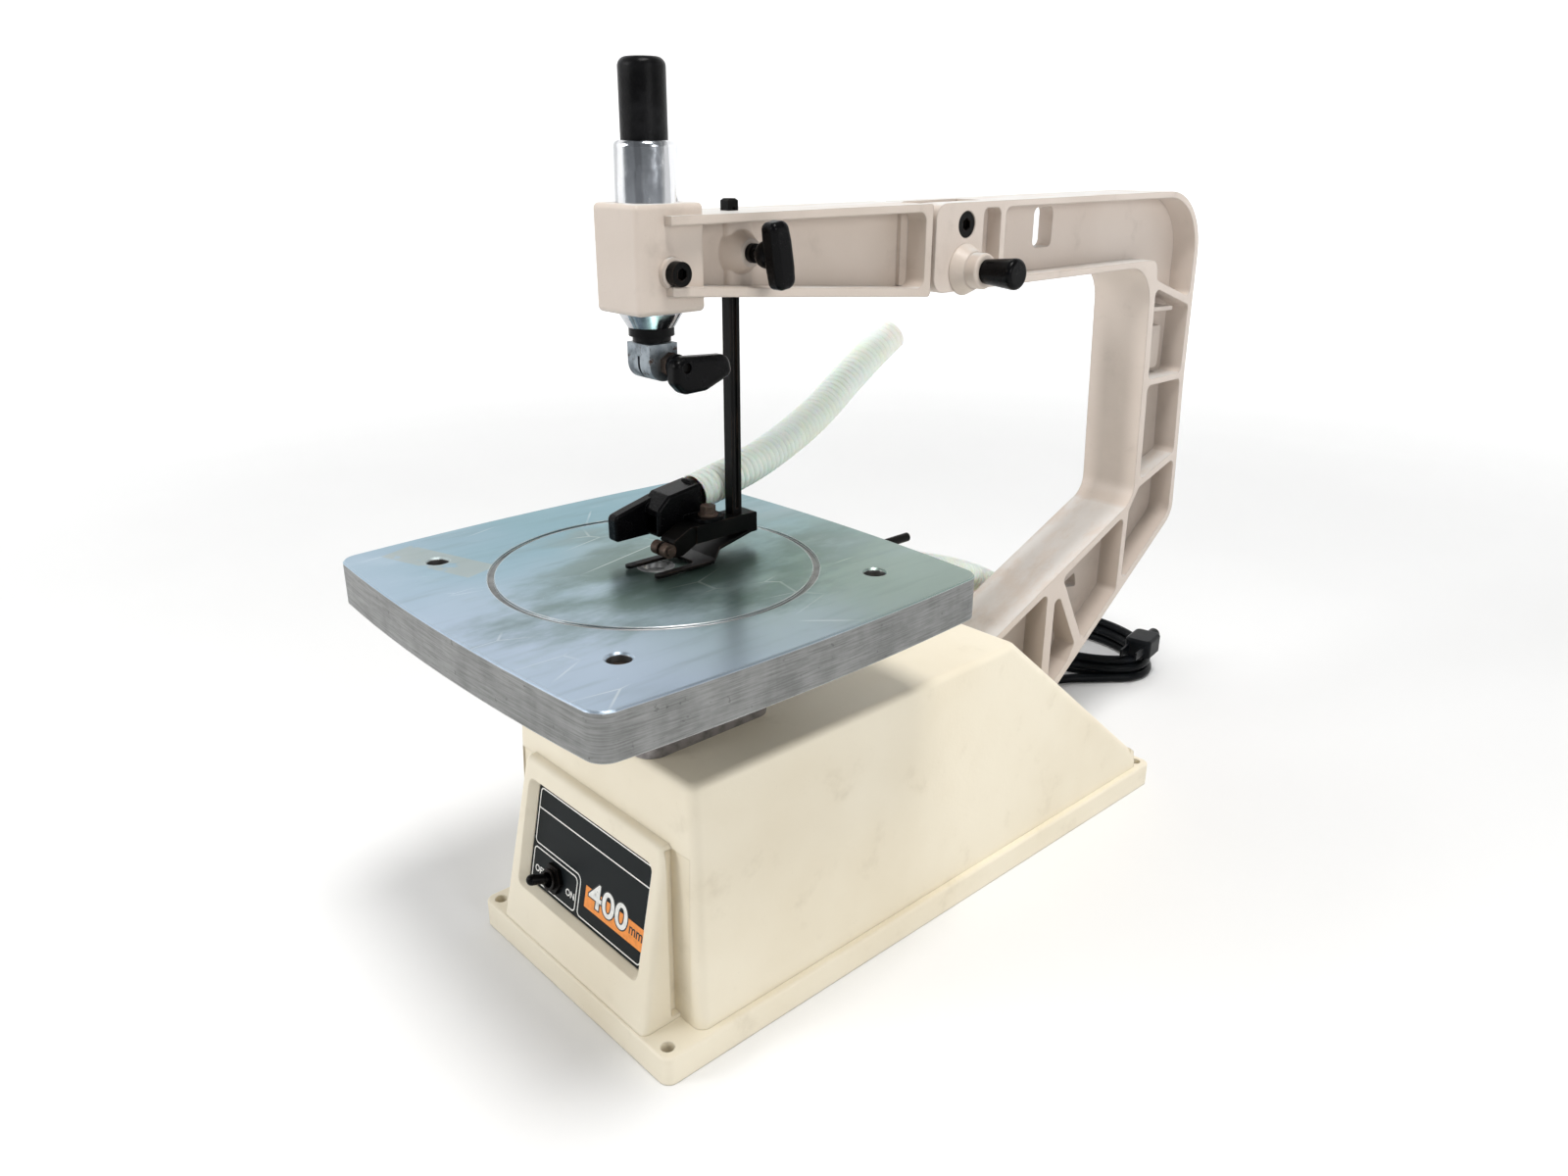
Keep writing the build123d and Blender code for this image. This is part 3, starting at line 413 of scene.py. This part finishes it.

# %% [markdown]
# ## The table
#
# The table is cast aluminium with a ground top.  Years of wood sliding over it have polished it
# and left fine scratches, a few pits and the residue of a strip of tape.  Noise that is drawn out
# along one axis makes streaks on the top and the fine level lines along the sides, and a mask
# made from the height keeps each to its own faces.  The edge between the two is bright.  The
# colour of the top also holds painted reflections: teal on the left turning grey-green to the
# right, a pale blue band along the front, paler blue patches, and a dark green patch around the
# saw line where the nozzle and arm are reflected.

# %% Ground aluminium
TABLE_TOP = 227.3 * MM
TAPE_MARK = (-79, -80)


def ground_table():
    """Ground aluminium on top, its colour carrying painted reflections, and brushed aluminium round the sides.
    """
    metal = Finish("ground_table", Metallic=1.0)
    rounded, edge = metal.edges(0.0009)
    x, y, z = metal.axes()
    y = y + BOLT_CENTRE_Y * MM
    top = z.ramp(TABLE_TOP - 0.0012, TABLE_TOP - 0.0006)
    clouds = metal.noise(9.0, 4.0, 0.5)
    drift = metal.noise(26.0, 5.0, 0.6, stretch=(1.0, 0.45, 1.0))
    streaks = metal.noise(150.0, 3.0, 0.5, stretch=(1.0, 0.12, 1.0))
    # Painted reflection: teal on the left turning grey-green to the right.
    colour = metal.mix((x * 3.4 + clouds * 0.9).ramp(0.15, 0.75), srgb(118, 158, 170), srgb(140, 160, 152))
    # Painted reflection: a pale blue band along the front.
    front = (0.06 - y + x * 0.4 + (clouds - 0.5) * 0.16).ramp(0.02, 0.19)
    colour = metal.mix(front * 0.85, colour, srgb(176, 192, 212))
    # Painted reflection of the nozzle and arm: a dark green patch around the saw line.
    green = (drift - abs(x - 0.02) * 3.2 - abs(y) * 2.2).ramp(0.16, 0.46)
    colour = metal.mix(green * 0.85, colour, srgb(74, 102, 88))
    # Painted reflection: paler blue patches.
    colour = metal.mix(drift.ramp(0.52, 0.78) * 0.40, colour, srgb(190, 208, 218))
    colour = metal.mix(streaks.ramp(0.50, 0.78) * 0.20, colour, srgb(110, 124, 124))
    hairs = metal.cells(34.0, "DISTANCE_TO_EDGE", (1.0, 0.35, 1.0)).ramp(0.012, 0.004)
    hairs = hairs * metal.noise(18.0, 2.0).ramp(0.55, 0.68)
    colour = metal.mix(hairs * 0.45, colour, srgb(226, 232, 232))
    pits = metal.cells(330.0).ramp(0.07, 0.03) * metal.noise(30.0, 2.0).ramp(0.50, 0.60)
    colour = metal.mix(pits * 0.6, colour, srgb(226, 230, 226))
    mark_x = abs(x * 0.95 + y * 0.30 - (TAPE_MARK[0] * 0.95 + TAPE_MARK[1] * 0.30) * MM)
    mark_y = abs(y * 0.95 - x * 0.30 - (TAPE_MARK[1] * 0.95 - TAPE_MARK[0] * 0.30) * MM)
    strip = mark_x.ramp(0.0305, 0.0295) * mark_y.ramp(0.0105, 0.0095)
    mark = strip * metal.noise(90.0, 4.0).ramp(0.36, 0.44)
    colour = metal.mix(mark * 0.55, colour, srgb(196, 198, 188))
    side_lines = metal.noise(1500.0, 3.0, 0.6, stretch=(0.04, 0.04, 1.0))
    side_drift = metal.noise(60.0, 4.0, 0.6, stretch=(1.0, 1.0, 0.6))
    brushed = (side_lines * 0.6 + side_drift * 0.5).ramp(0.35, 0.75)
    side = metal.mix(brushed, srgb(150, 151, 150), srgb(116, 117, 116))
    side = metal.mix(metal.noise(240.0, 3.0).ramp(0.66, 0.72) * 0.5, side, srgb(84, 84, 84))
    colour = metal.mix(top, side, colour)
    colour = metal.mix(edge * 0.85, colour, srgb(236, 238, 238))
    rough_top = 0.20 + 0.14 * clouds + 0.10 * streaks + 0.25 * mark
    rough_side = 0.36 + 0.16 * side_lines
    rough = rough_side + top * (rough_top - rough_side)
    height = 0.25 * streaks + 0.5 * hairs + 0.30 * side_lines * (1 - top)
    normal = metal.bump(height, 0.10, 0.0003, rounded)
    return metal.done(Base_Color=colour, Roughness=rough, Normal=normal)


dress(ground_table(), "table")

# %% [markdown]
# ## Other metals
#
# One function makes the plain metals, from mirror-bright chrome to a dull zinc plating: colour,
# polish, how blotchy it is, and how much rust has come through.

# %% Plain metals
def metal_finish(name, colour, dark, polish, blotch=0.1, rust=0.0, grain=0.15):
    """A metal with a given polish; where rust has come through it is brown, dull and no mirror."""
    metal = Finish(name, Metallic=1.0)
    rounded, edge = metal.edges(0.0005)
    patches = metal.noise(130.0, 5.0, 0.6)
    fine = metal.noise(900.0, 3.0, 0.6)
    tint = metal.mix(patches.ramp(0.40, 0.72), colour, dark)
    tint = metal.mix(edge * 0.5, tint, colour)
    rough = polish + blotch * patches + 0.05 * fine
    changing = {}
    if rust:
        spots = metal.noise(210.0, 6.0, 0.7).ramp(0.62 - rust, 0.70 - 0.6 * rust)
        brown = metal.mix(fine, srgb(78, 54, 40), srgb(44, 32, 26))
        tint = metal.mix(spots, tint, brown)
        rough = rough + spots * 0.35
        changing["Metallic"] = 1.0 - spots * 0.85
    normal = metal.bump(fine + patches, grain, 0.0003, rounded)
    return metal.done(Base_Color=tint, Roughness=rough, Normal=normal, **changing)


chrome = metal_finish("chrome", srgb(206, 208, 212), srgb(140, 143, 150), 0.06, 0.10, 0.0, 0.02)
zinc = metal_finish("zinc_plate", srgb(150, 158, 164), srgb(98, 106, 112), 0.28, 0.22, 0.08)
rusty = metal_finish("rusty_steel", srgb(92, 80, 72), srgb(52, 42, 36), 0.34, 0.25, 0.18, 0.4)
plain_alu = metal_finish("machined_aluminium", srgb(206, 208, 208), srgb(170, 172, 174), 0.25, 0.15)
grey_cast = metal_finish("grey_casting", srgb(150, 146, 144), srgb(112, 108, 107), 0.48, 0.2, 0.0, 0.5)
bronze = metal_finish("bearing_bronze", srgb(186, 140, 82), srgb(136, 96, 52), 0.3, 0.2)
dress(chrome, "tube_nut", "upper_plunger", "lower_plunger", "lock_pin")
dress(zinc, "cap_screws", "arm_foot_bolts", "motor_cradle", "motor_rotor",
      "crank_disc", "wrist_pin", "lower_clamp", "connecting_rod", "crank_pin", "return_spring", "upper_clamp")
dress(rusty, "clamp_nut", "roller_pin", "guide_roller_left", "guide_roller_right", "nozzle_bolt",
      "table_screws")
dress(plain_alu, "table_insert")
dress(grey_cast, "table_support", "motor_end_shields")
dress(bronze, "lower_bush")

# %% [markdown]
# The spring tube is the brightest thing on the saw.  Painted reflections run down it as bright
# and dark bands, so its colour changes with the angle round the tube, which comes from the arc
# tangent of the two distances from its axis.  Hands leave smears on it, and those are duller.

# %% Polished tube
def tube_chrome():
    """Polished chrome with painted reflections as bands along the tube, and dull smears."""
    metal = Finish("tube_chrome", Metallic=1.0)
    rounded, edge = metal.edges(0.0008)
    x, y, _ = metal.axes()
    angle = (y + BOLT_CENTRE_Y * MM).math("ARCTAN2", x)
    wobble = metal.noise(30.0, 3.0) * 1.4
    # Painted reflections: wide bright bands and thin dark ones, by the angle round the tube.
    reflection_bands = (angle * 3.0 + wobble).math("SINE").ramp(-0.15, 0.55)
    thin = (angle * 7.0 + wobble * 2.0).math("SINE").ramp(0.5, 0.9)
    smears = metal.noise(90.0, 5.0, 0.65, stretch=(1.0, 1.0, 0.5))
    colour = metal.mix(reflection_bands, srgb(166, 170, 176), srgb(240, 241, 243))
    colour = metal.mix(thin * 0.4, colour, srgb(92, 94, 100))
    colour = metal.mix(smears.ramp(0.60, 0.72) * 0.6, colour, srgb(232, 234, 236))
    colour = metal.mix(edge * 0.6, colour, srgb(236, 238, 240))
    rough = 0.14 + 0.22 * smears.ramp(0.45, 0.75)
    return metal.done(Base_Color=colour, Roughness=rough, Normal=rounded)


dress(tube_chrome(), "spring_tube")


# %% [markdown]
# ## Black parts
#
# Black is never one black.  Knobs are glossy moulded plastic with a little dust in the pores,
# bolts and the hold-down rod are oxide-black steel that wears brown at its edges, and the cord
# is rubber.

# %% Black plastic, black steel and rubber
def black_finish(name, base, dust, gloss, wear, wear_amount, grain):
    """A black with dusty specks and edges that wear to another colour."""
    black = Finish(name, Specular_IOR_Level=0.10)
    rounded, edge = black.edges(0.0006)
    slow = black.noise(70.0, 4.0)
    fine = black.noise(1100.0, 3.0, 0.6)
    specks = black.cells(700.0).ramp(0.16, 0.07) * (black.noise(160.0, 2.0) > 0.52)
    colour = black.mix(slow.ramp(0.35, 0.8) * 0.5, base, dust)
    colour = black.mix(specks * 0.5, colour, dust)
    rubbed = edge * slow.ramp(0.38, 0.62)
    colour = black.mix(rubbed * wear_amount, colour, wear)
    rough = gloss + 0.16 * slow + 0.05 * fine
    normal = black.bump(fine + 0.6 * slow, grain, 0.0003, rounded)
    return black.done(Base_Color=colour, Roughness=rough, Normal=normal)


black_plastic = black_finish("black_plastic", srgb(4, 4, 5), srgb(16, 16, 18), 0.16,
                             srgb(70, 70, 72), 0.35, 0.10)
pitted_plastic = black_finish("pitted_black_plastic", srgb(5, 5, 6), srgb(44, 44, 46), 0.22,
                              srgb(90, 90, 92), 0.35, 0.5)
black_steel = black_finish("black_steel", srgb(5, 5, 5), srgb(20, 17, 15), 0.26,
                           srgb(96, 74, 58), 0.5, 0.2)
black_rubber = black_finish("black_rubber", srgb(6, 8, 10), srgb(20, 24, 29), 0.26,
                            srgb(60, 64, 70), 0.3, 0.15)
motor_paint = black_finish("motor_paint", srgb(24, 24, 26), srgb(48, 46, 44), 0.4,
                           srgb(90, 88, 84), 0.4, 0.2)
label_black = black_finish("label_black", srgb(22, 27, 29), srgb(30, 35, 37), 0.30,
                           srgb(70, 74, 74), 0.1, 0.03)
dress(black_plastic, "switch_body", "dust_port", "clamp_lever", "tee_knob", "lock_knob", "dust_nozzle",
      "tube_bush", "cooling_fan", "toggle_lever")
dress(pitted_plastic, "press_cap")
dress(black_steel, "clamp_screw", "pivot_bolt", "table_rear_pin", "tube_clamp_screw", "tee_screw",
      "lower_clamp_screw", "hold_down_rod", "hold_down_bar", "hold_down_foot", "switch_bezel")
dress(black_rubber, "cord_gland", "plug")
dress(motor_paint, "motor_stator")
dress(label_black, "switch_plate")

power_cord.data.materials.append(black_rubber)
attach(power_cord, "frame")
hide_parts("power_cord", "cord_coil")
tuple(at(-40, 364, 30))

# %% [markdown]
# ## Ribbed hose
#
# The dust hose is thin vinyl blown into rings, a rib about every 3.7 mm.  Its line is the same
# kind of smooth curve as the cord's.  A node tree then sets the tube's radius along the line
# with a wave, so the ribs follow every bend, and the number of ribs comes from the pitch.

# %% Vinyl for the hoses
def hose_vinyl():
    """Milky vinyl, with painted shade in the grooves between the ribs: darker and a little yellower there."""
    vinyl = Finish("hose_vinyl", Specular_IOR_Level=0.45, Subsurface_Weight=0.35, Subsurface_Scale=0.006)
    slow = vinyl.noise(22.0, 3.0)
    fine = vinyl.noise(600.0, 3.0)
    groove = vinyl.node("ShaderNodeAttribute", {"attribute_name": "groove"}, output="Fac")
    colour = vinyl.mix(slow.ramp(0.35, 0.7), srgb(255, 254, 248), srgb(253, 250, 234))
    colour = vinyl.mix(fine.ramp(0.6, 0.8) * 0.1, colour, srgb(226, 220, 196))
    # Painted shade: the grooves between the ribs are darker and yellower.
    colour = vinyl.mix(groove.ramp(0.50, 1.0) * 0.4, colour, srgb(216, 208, 178))
    normal = vinyl.bump(fine, 0.08, 0.0003)
    return vinyl.done(Base_Color=colour, Roughness=0.34 + 0.12 * slow, Normal=normal)


vinyl = hose_vinyl()


# %% Node tree of a ribbed hose
POINTS_PER_RIB = 12
RING_SIDES = 28


def add_input(tree, name, number):
    """A named number that the tree's modifier can be given; its identifier is kept."""
    socket = tree.interface.new_socket(name, in_out="INPUT", socket_type="NodeSocketFloat")
    socket.default_value = number
    return socket.identifier


class Tree:
    """A Geometry Nodes tree with named inputs, built one node at a time."""

    def __init__(self, name, **numbers):
        self.tree = bpy.data.node_groups.new(name, "GeometryNodeTree")
        self.tree.interface.new_socket("Geometry", in_out="INPUT", socket_type="NodeSocketGeometry")
        self.ids = {key: add_input(self.tree, key, number) for key, number in numbers.items()}
        self.tree.interface.new_socket("Geometry", in_out="OUTPUT", socket_type="NodeSocketGeometry")
        self.start = self.tree.nodes.new("NodeGroupInput")
        self.end = self.tree.nodes.new("NodeGroupOutput")

    def given(self, name):
        """One of the tree's own inputs."""
        return Value(self.tree, self.start.outputs[name])

    def node(self, kind, settings=None, inputs=None, output=0):
        return add_node(self.tree, kind, settings, inputs, output)

    def finish(self, geometry, material):
        """Make instances real, give the material, and connect the result to the tree's end."""
        real = self.node("GeometryNodeRealizeInstances", None, {0: geometry})
        painted = self.node("GeometryNodeSetMaterial", None, {0: real, "Material": material})
        self.tree.links.new(painted.socket, self.end.inputs[0])

    def apply(self, piece, name, **numbers):
        """Run the tree on an object and keep the result as a plain mesh object."""
        modifier = piece.modifiers.new("tree", "NODES")
        modifier.node_group = self.tree
        for key, number in numbers.items():
            modifier[self.ids[key]] = number
        bpy.context.view_layer.update()
        evaluated = piece.evaluated_get(bpy.context.evaluated_depsgraph_get())
        mesh = bpy.data.meshes.new_from_object(evaluated)
        piece.modifiers.remove(modifier)
        result = bpy.data.objects.new(name, mesh)
        bpy.context.scene.collection.objects.link(result)
        return result


def hose_tree():
    """A tube along a curve whose radius dips between ribs."""
    tree = Tree("ribbed_hose", Radius=0.01, Depth=0.0015, Pitch=0.0037)
    line = tree.given("Geometry")
    length = tree.node("GeometryNodeCurveLength", None, {0: line})
    ribs = (length / tree.given("Pitch")).math("ROUND")
    inputs = {"Curve": line, "Count": ribs * POINTS_PER_RIB + 1}
    fine = tree.node("GeometryNodeResampleCurve", {"mode": "COUNT"}, inputs)
    along = tree.node("GeometryNodeSplineParameter")
    wave = (along * ribs * (2 * math.pi)).math("COSINE")
    crest = abs(0.5 + 0.5 * wave).math("POWER", 0.30)
    radius = tree.given("Radius") - tree.given("Depth") * (1 - crest)
    inputs = {"Geometry": fine, "Name": "groove", "Value": 1 - crest}
    settings = {"data_type": "FLOAT", "domain": "POINT"}
    fine = tree.node("GeometryNodeStoreNamedAttribute", settings, inputs)
    inputs = {"Resolution": RING_SIDES, "Radius": 1.0}
    ring = tree.node("GeometryNodeCurvePrimitiveCircle", {"mode": "RADIUS"}, inputs)
    shaped = tree.node("GeometryNodeSetCurveRadius", None, {"Curve": fine, "Radius": radius})
    inputs = {"Curve": shaped, "Profile Curve": ring}
    tube = tree.node("GeometryNodeCurveToMesh", None, inputs)
    if "Scale" in [socket.name for socket in tube.socket.node.inputs]:
        feed(tree.tree, tube.socket.node.inputs["Scale"], radius)
    tree.finish(tube, vinyl)
    return tree


ribbed_hose = hose_tree()
HOSE_WALL = 0.0009


def hose(name, points, body, stands_for):
    """A ribbed hose along a route, with a wall inside so that its open end is hollow."""
    bare = route(name + "_line", points)
    bpy.context.view_layer.update()
    line, length = line_of(bare)
    piece = ribbed_hose.apply(bare, name)
    bpy.data.objects.remove(bare)
    wall = piece.modifiers.new("wall", "SOLIDIFY")
    wall.thickness = HOSE_WALL
    wall.offset = -1.0
    for polygon in piece.data.polygons:
        polygon.use_smooth = True
    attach(piece, body)
    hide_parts(stands_for)
    tuple(at(*points[0]))
    print(f"{name} {length:.3f} m, {len(piece.data.polygons)} faces")


# %% The two hoses
nozzle_hose_points = [
    (-16, 35, 254.4), (-17, 62, 259), (-21, 84, 262.5), (-25.5, 105, 267.5), (-30, 125, 273), (-34, 144, 280),
    (-38, 162, 289), (-41, 179, 297.5), (-43.5, 196, 306), (-45, 213, 314.5),
]
floor_hose_points = [
    (-45, 110, 190), (-45.5, 138, 187.5), (-44, 170, 181), (-43, 205, 170), (-42, 245, 155.5), (-42.5, 285, 142),
    (-43, 322, 125), (-47, 357, 101), (-60, 388, 73), (-82, 412, 45), (-108, 422, 22.5), (-138, 419, 11.5),
    (-168, 411, 10.3),
]
hose("ribbed_nozzle_hose", nozzle_hose_points, "hold_down", "nozzle_hose")
hose("ribbed_floor_hose", floor_hose_points, "frame", "floor_hose")

# %% [markdown]
# ## Printing on the switch plate
#
# The plate is black with thin white rules, an orange band that states the throat depth, and OFF
# and ON beside the toggle.  The ink is a very thin layer that stands on the plate.  Rules and
# bands are drawn as flat strips in the plate's own two directions and then carried onto it, and
# letters are turned into meshes before they are carried, so each piece keeps its place in its
# mesh.

# %% The plate's own plane
PLATE_MIDDLE = at(0, -53.76, 69.98)
PLATE_TILT = math.atan2(20.0, 97.0)
PLATE_ACROSS = Vector((1, 0, 0))
PLATE_UP = Vector((0, math.sin(PLATE_TILT), math.cos(PLATE_TILT)))
PLATE_OUT = Vector((0, -math.cos(PLATE_TILT), math.sin(PLATE_TILT)))


def on_plate(u, v, lift):
    """A point above the switch plate, in millimetres across, up and out from its middle."""
    return PLATE_MIDDLE + (PLATE_ACROSS * u + PLATE_UP * v + PLATE_OUT * lift) * MM


def corner_arc(before, here, after, radius, steps=6):
    """Points of a rounded corner between two straight edges."""
    here = Vector(here[:2])
    run_in = (Vector(before[:2]) - here).normalized()
    run_out = (Vector(after[:2]) - here).normalized()
    half = run_in.angle(run_out) / 2
    start = here + run_in * radius / math.tan(half)
    end = here + run_out * radius / math.tan(half)
    centre = here + (run_in + run_out).normalized() * radius / math.sin(half)
    points = []
    for step in range(steps + 1):
        spoke = (start - centre).lerp(end - centre, step / steps)
        points.append(centre + spoke.normalized() * radius)
    return points


def rounded_loop(corners):
    """A closed loop from (u, v, radius) corners."""
    loop = []
    for index, here in enumerate(corners):
        loop += corner_arc(corners[index - 1], here, corners[(index + 1) % len(corners)], here[2])
    return loop


def ink(name, colour):
    """Printed ink that is a little worn in places."""
    print_ink = Finish(name, Specular_IOR_Level=0.4)
    grain = print_ink.noise(500.0, 3.0)
    worn = tuple(channel * 0.82 for channel in colour[:3]) + (1.0,)
    mottled = print_ink.mix(grain.ramp(0.3, 0.8), colour, worn)
    return print_ink.done(Base_Color=mottled, Roughness=0.3 + 0.1 * grain)


white_ink = ink("white_ink", srgb(240, 240, 236))
orange_ink = ink("orange_ink", srgb(247, 150, 58))
black_ink = ink("black_ink", srgb(20, 22, 22))


def put_on_frame(name, mesh, material):
    """A printed piece that rides with the frame."""
    mesh.materials.clear()
    mesh.materials.append(material)
    piece = bpy.data.objects.new(name, mesh)
    bpy.context.scene.collection.objects.link(piece)
    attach(piece, "frame")
    return piece


# %% Rules and bands
RULE_WIDTH = 0.75


def rule(name, loop, lift, closed=True):
    """A thin printed line along a loop or a run of points."""
    mesh = bpy.data.meshes.new(name)
    verts, faces = [], []
    count = len(loop)
    for index, here in enumerate(loop):
        before = loop[index - 1] if closed or index else here
        after = loop[(index + 1) % count] if closed or index < count - 1 else here
        along = (after - before).normalized()
        side = Vector((-along.y, along.x)) * RULE_WIDTH / 2
        verts += [on_plate(*(here + side), lift), on_plate(*(here - side), lift)]
    for index in range(count if closed else count - 1):
        a, b = 2 * index, 2 * ((index + 1) % count)
        faces.append((a, a + 1, b + 1, b))
    mesh.from_pydata(verts, [], faces)
    return put_on_frame(name, mesh, white_ink)


def band(name, loop, lift, material):
    """A printed flat area inside a loop."""
    mesh = bpy.data.meshes.new(name)
    mesh.from_pydata([on_plate(*point, lift) for point in loop], [], [tuple(range(len(loop)))])
    return put_on_frame(name, mesh, material)


outer_rule = [
    (-50.6, 27, 2.5), (50.8, 27, 2.5), (50.8, -27, 2.5), (-5.4, -27, 2.5), (-5.4, -4.8, 4), (-50.6, -4.8, 2.5),
]
switch_rule = [(-50.6, -7.4, 2.5), (-8.2, -7.4, 3), (-8.2, -27, 2.5), (-50.6, -27, 2.5)]
rule("plate_border", rounded_loop(outer_rule), 0.06)
rule("switch_border", rounded_loop(switch_rule), 0.06)
rule("plate_divider", [Vector((-50.4, 15.6)), Vector((50.6, 15.6))], 0.06, closed=False)
orange_area = [(-0.2, -19.4, 0.4), (52.3, -19.4, 0.4), (52.3, -7.2, 0.4), (-0.2, -7.2, 0.4)]
band("orange_band", rounded_loop(orange_area), 0.07, orange_ink)


# %% Letters and numbers
CAPITAL_SHARE = 0.7


def letters(name, text, u, v, height, lift, material, spread=0.0, wide=1.0):
    """Printed words; height is that of a capital, spread makes the strokes bolder."""
    curve = bpy.data.curves.new(name, "FONT")
    curve.body = text
    curve.size = height / CAPITAL_SHARE
    curve.offset = spread
    curve.resolution_u = 6
    drawn = bpy.data.objects.new(name + "_drawn", curve)
    bpy.context.scene.collection.objects.link(drawn)
    bpy.context.view_layer.update()
    evaluated = drawn.evaluated_get(bpy.context.evaluated_depsgraph_get())
    mesh = bpy.data.meshes.new_from_object(evaluated)
    bpy.data.objects.remove(drawn)
    for vertex in mesh.vertices:
        vertex.co = on_plate(u + vertex.co.x * wide, v + vertex.co.y, lift)
    print(text, len(mesh.polygons), "faces")
    return put_on_frame(name, mesh, material)


letters("off_word", "OFF", -48.2, -21.0, 3.8, 0.08, white_ink, 0.10)
letters("on_word", "ON", -17.8, -21.0, 3.8, 0.08, white_ink, 0.10)
letters("throat_number_edge", "400", 3.0, -15.8, 13.6, 0.09, black_ink, 1.0, 1.18)
letters("throat_number", "400", 3.0, -15.8, 13.6, 0.12, white_ink, 0.30, 1.18)
letters("throat_unit", "mm", 38.8, -14.4, 6.0, 0.10, black_ink, 0.16, 0.9)

# %% [markdown]
# ## Floor and light
#
# The saw stands on pale paper that curves up into a wall behind it, as in a studio.  Far from the
# saw the paper glows a little, so it stays as pale there as under the lamps and the metal has
# something pale to reflect.  The key lamp hangs above the saw, a broad one stands at the front
# left and a small one at the right.

# %% Floor and backdrop
def sweep_finish():
    """Pale paper that glows more with the distance from the saw."""
    paper = Finish("pale_paper", Roughness=0.9, Emission_Strength=1.0)
    x, y, _ = paper.axes()
    far = (x * x + y * y).math("SQRT").ramp(0.7, 2.4)
    glow = paper.mix(far, (0.0, 0.0, 0.0, 1), (0.42, 0.42, 0.42, 1))
    pale = paper.mix(paper.noise(3.0, 2.0), (0.84, 0.84, 0.84, 1), (0.88, 0.88, 0.88, 1))
    return paper.done(Base_Color=pale, Emission_Color=glow)


def paper_sweep(flat_radius, bend_radius, wall_height):
    """A round floor that curves up into a wall behind the saw and stays flat in front."""
    profile = [(0.7 * flat_radius, 0.0), (flat_radius, 0.0)]
    for step in range(1, 13):
        angle = math.pi / 2 * step / 12
        profile.append((flat_radius + bend_radius * math.sin(angle), bend_radius * (1 - math.cos(angle))))
    profile.append((flat_radius + bend_radius, wall_height))
    behind = math.pi / 2 + CAMERA_ROUND
    mesh = bpy.data.meshes.new("paper_sweep")
    verts, faces = [], []
    columns = 96
    for column in range(columns):
        turn = 2 * math.pi * column / columns
        rise = min(1.0, max(0.0, 0.5 + 1.6 * math.cos(turn)))
        angle = behind + turn
        for radius, height in profile:
            verts.append((radius * math.cos(angle), radius * math.sin(angle), height * rise - 0.0003))
    rows = len(profile)
    for column in range(columns):
        following = (column + 1) % columns
        for row in range(rows - 1):
            a = column * rows + row
            b = following * rows + row
            faces.append((a, a + 1, b + 1, b))
    faces.append([column * rows for column in range(columns)])
    mesh.from_pydata(verts, [], faces)
    for polygon in mesh.polygons:
        polygon.use_smooth = True
    return mesh


def disk(radius, height):
    """A flat round floor."""
    mesh = bpy.data.meshes.new("floor_disk")
    shape = bmesh.new()
    bmesh.ops.create_circle(shape, cap_ends=True, segments=96, radius=radius)
    bmesh.ops.translate(shape, verts=shape.verts, vec=(0, 0, height))
    shape.to_mesh(mesh)
    shape.free()
    return mesh


paper = sweep_finish()
for name, mesh in (("backdrop", paper_sweep(2.6, 1.2, 4.5)), ("floor", disk(9.0, -0.0006))):
    mesh.materials.append(paper)
    sheet = bpy.data.objects.new(name, mesh)
    bpy.context.scene.collection.objects.link(sheet)


# %% Lamps and room
def soft_lamp(name, where, aim, size, power, tint=(1, 1, 1)):
    """A round soft lamp that points at a place."""
    light = bpy.data.lights.new(name, "AREA")
    light.shape = "DISK"
    light.size = size
    light.energy = power
    light.color = tint
    lamp = bpy.data.objects.new(name, light)
    lamp.location = where
    lamp.rotation_euler = (aim - Vector(where)).to_track_quat("-Z", "Y").to_euler()
    bpy.context.scene.collection.objects.link(lamp)


middle = at(0, 130, 200)
soft_lamp("key_lamp", (0.55, -0.25, 2.3), middle, 0.7, 33.0, (1.0, 0.99, 0.97))
soft_lamp("front_lamp", (-0.9, -2.1, 1.2), middle, 1.0, 20.0)
soft_lamp("side_lamp", (2.2, -0.2, 0.9), middle, 0.6, 10.0)

room = bpy.data.worlds.new("white_room")
room.use_nodes = True
room.node_tree.nodes["Background"].inputs["Color"].default_value = (0.97, 0.99, 1.0, 1.0)
room.node_tree.nodes["Background"].inputs["Strength"].default_value = 0.30
bpy.context.scene.world = room
bpy.context.scene.view_settings.view_transform = "Standard"
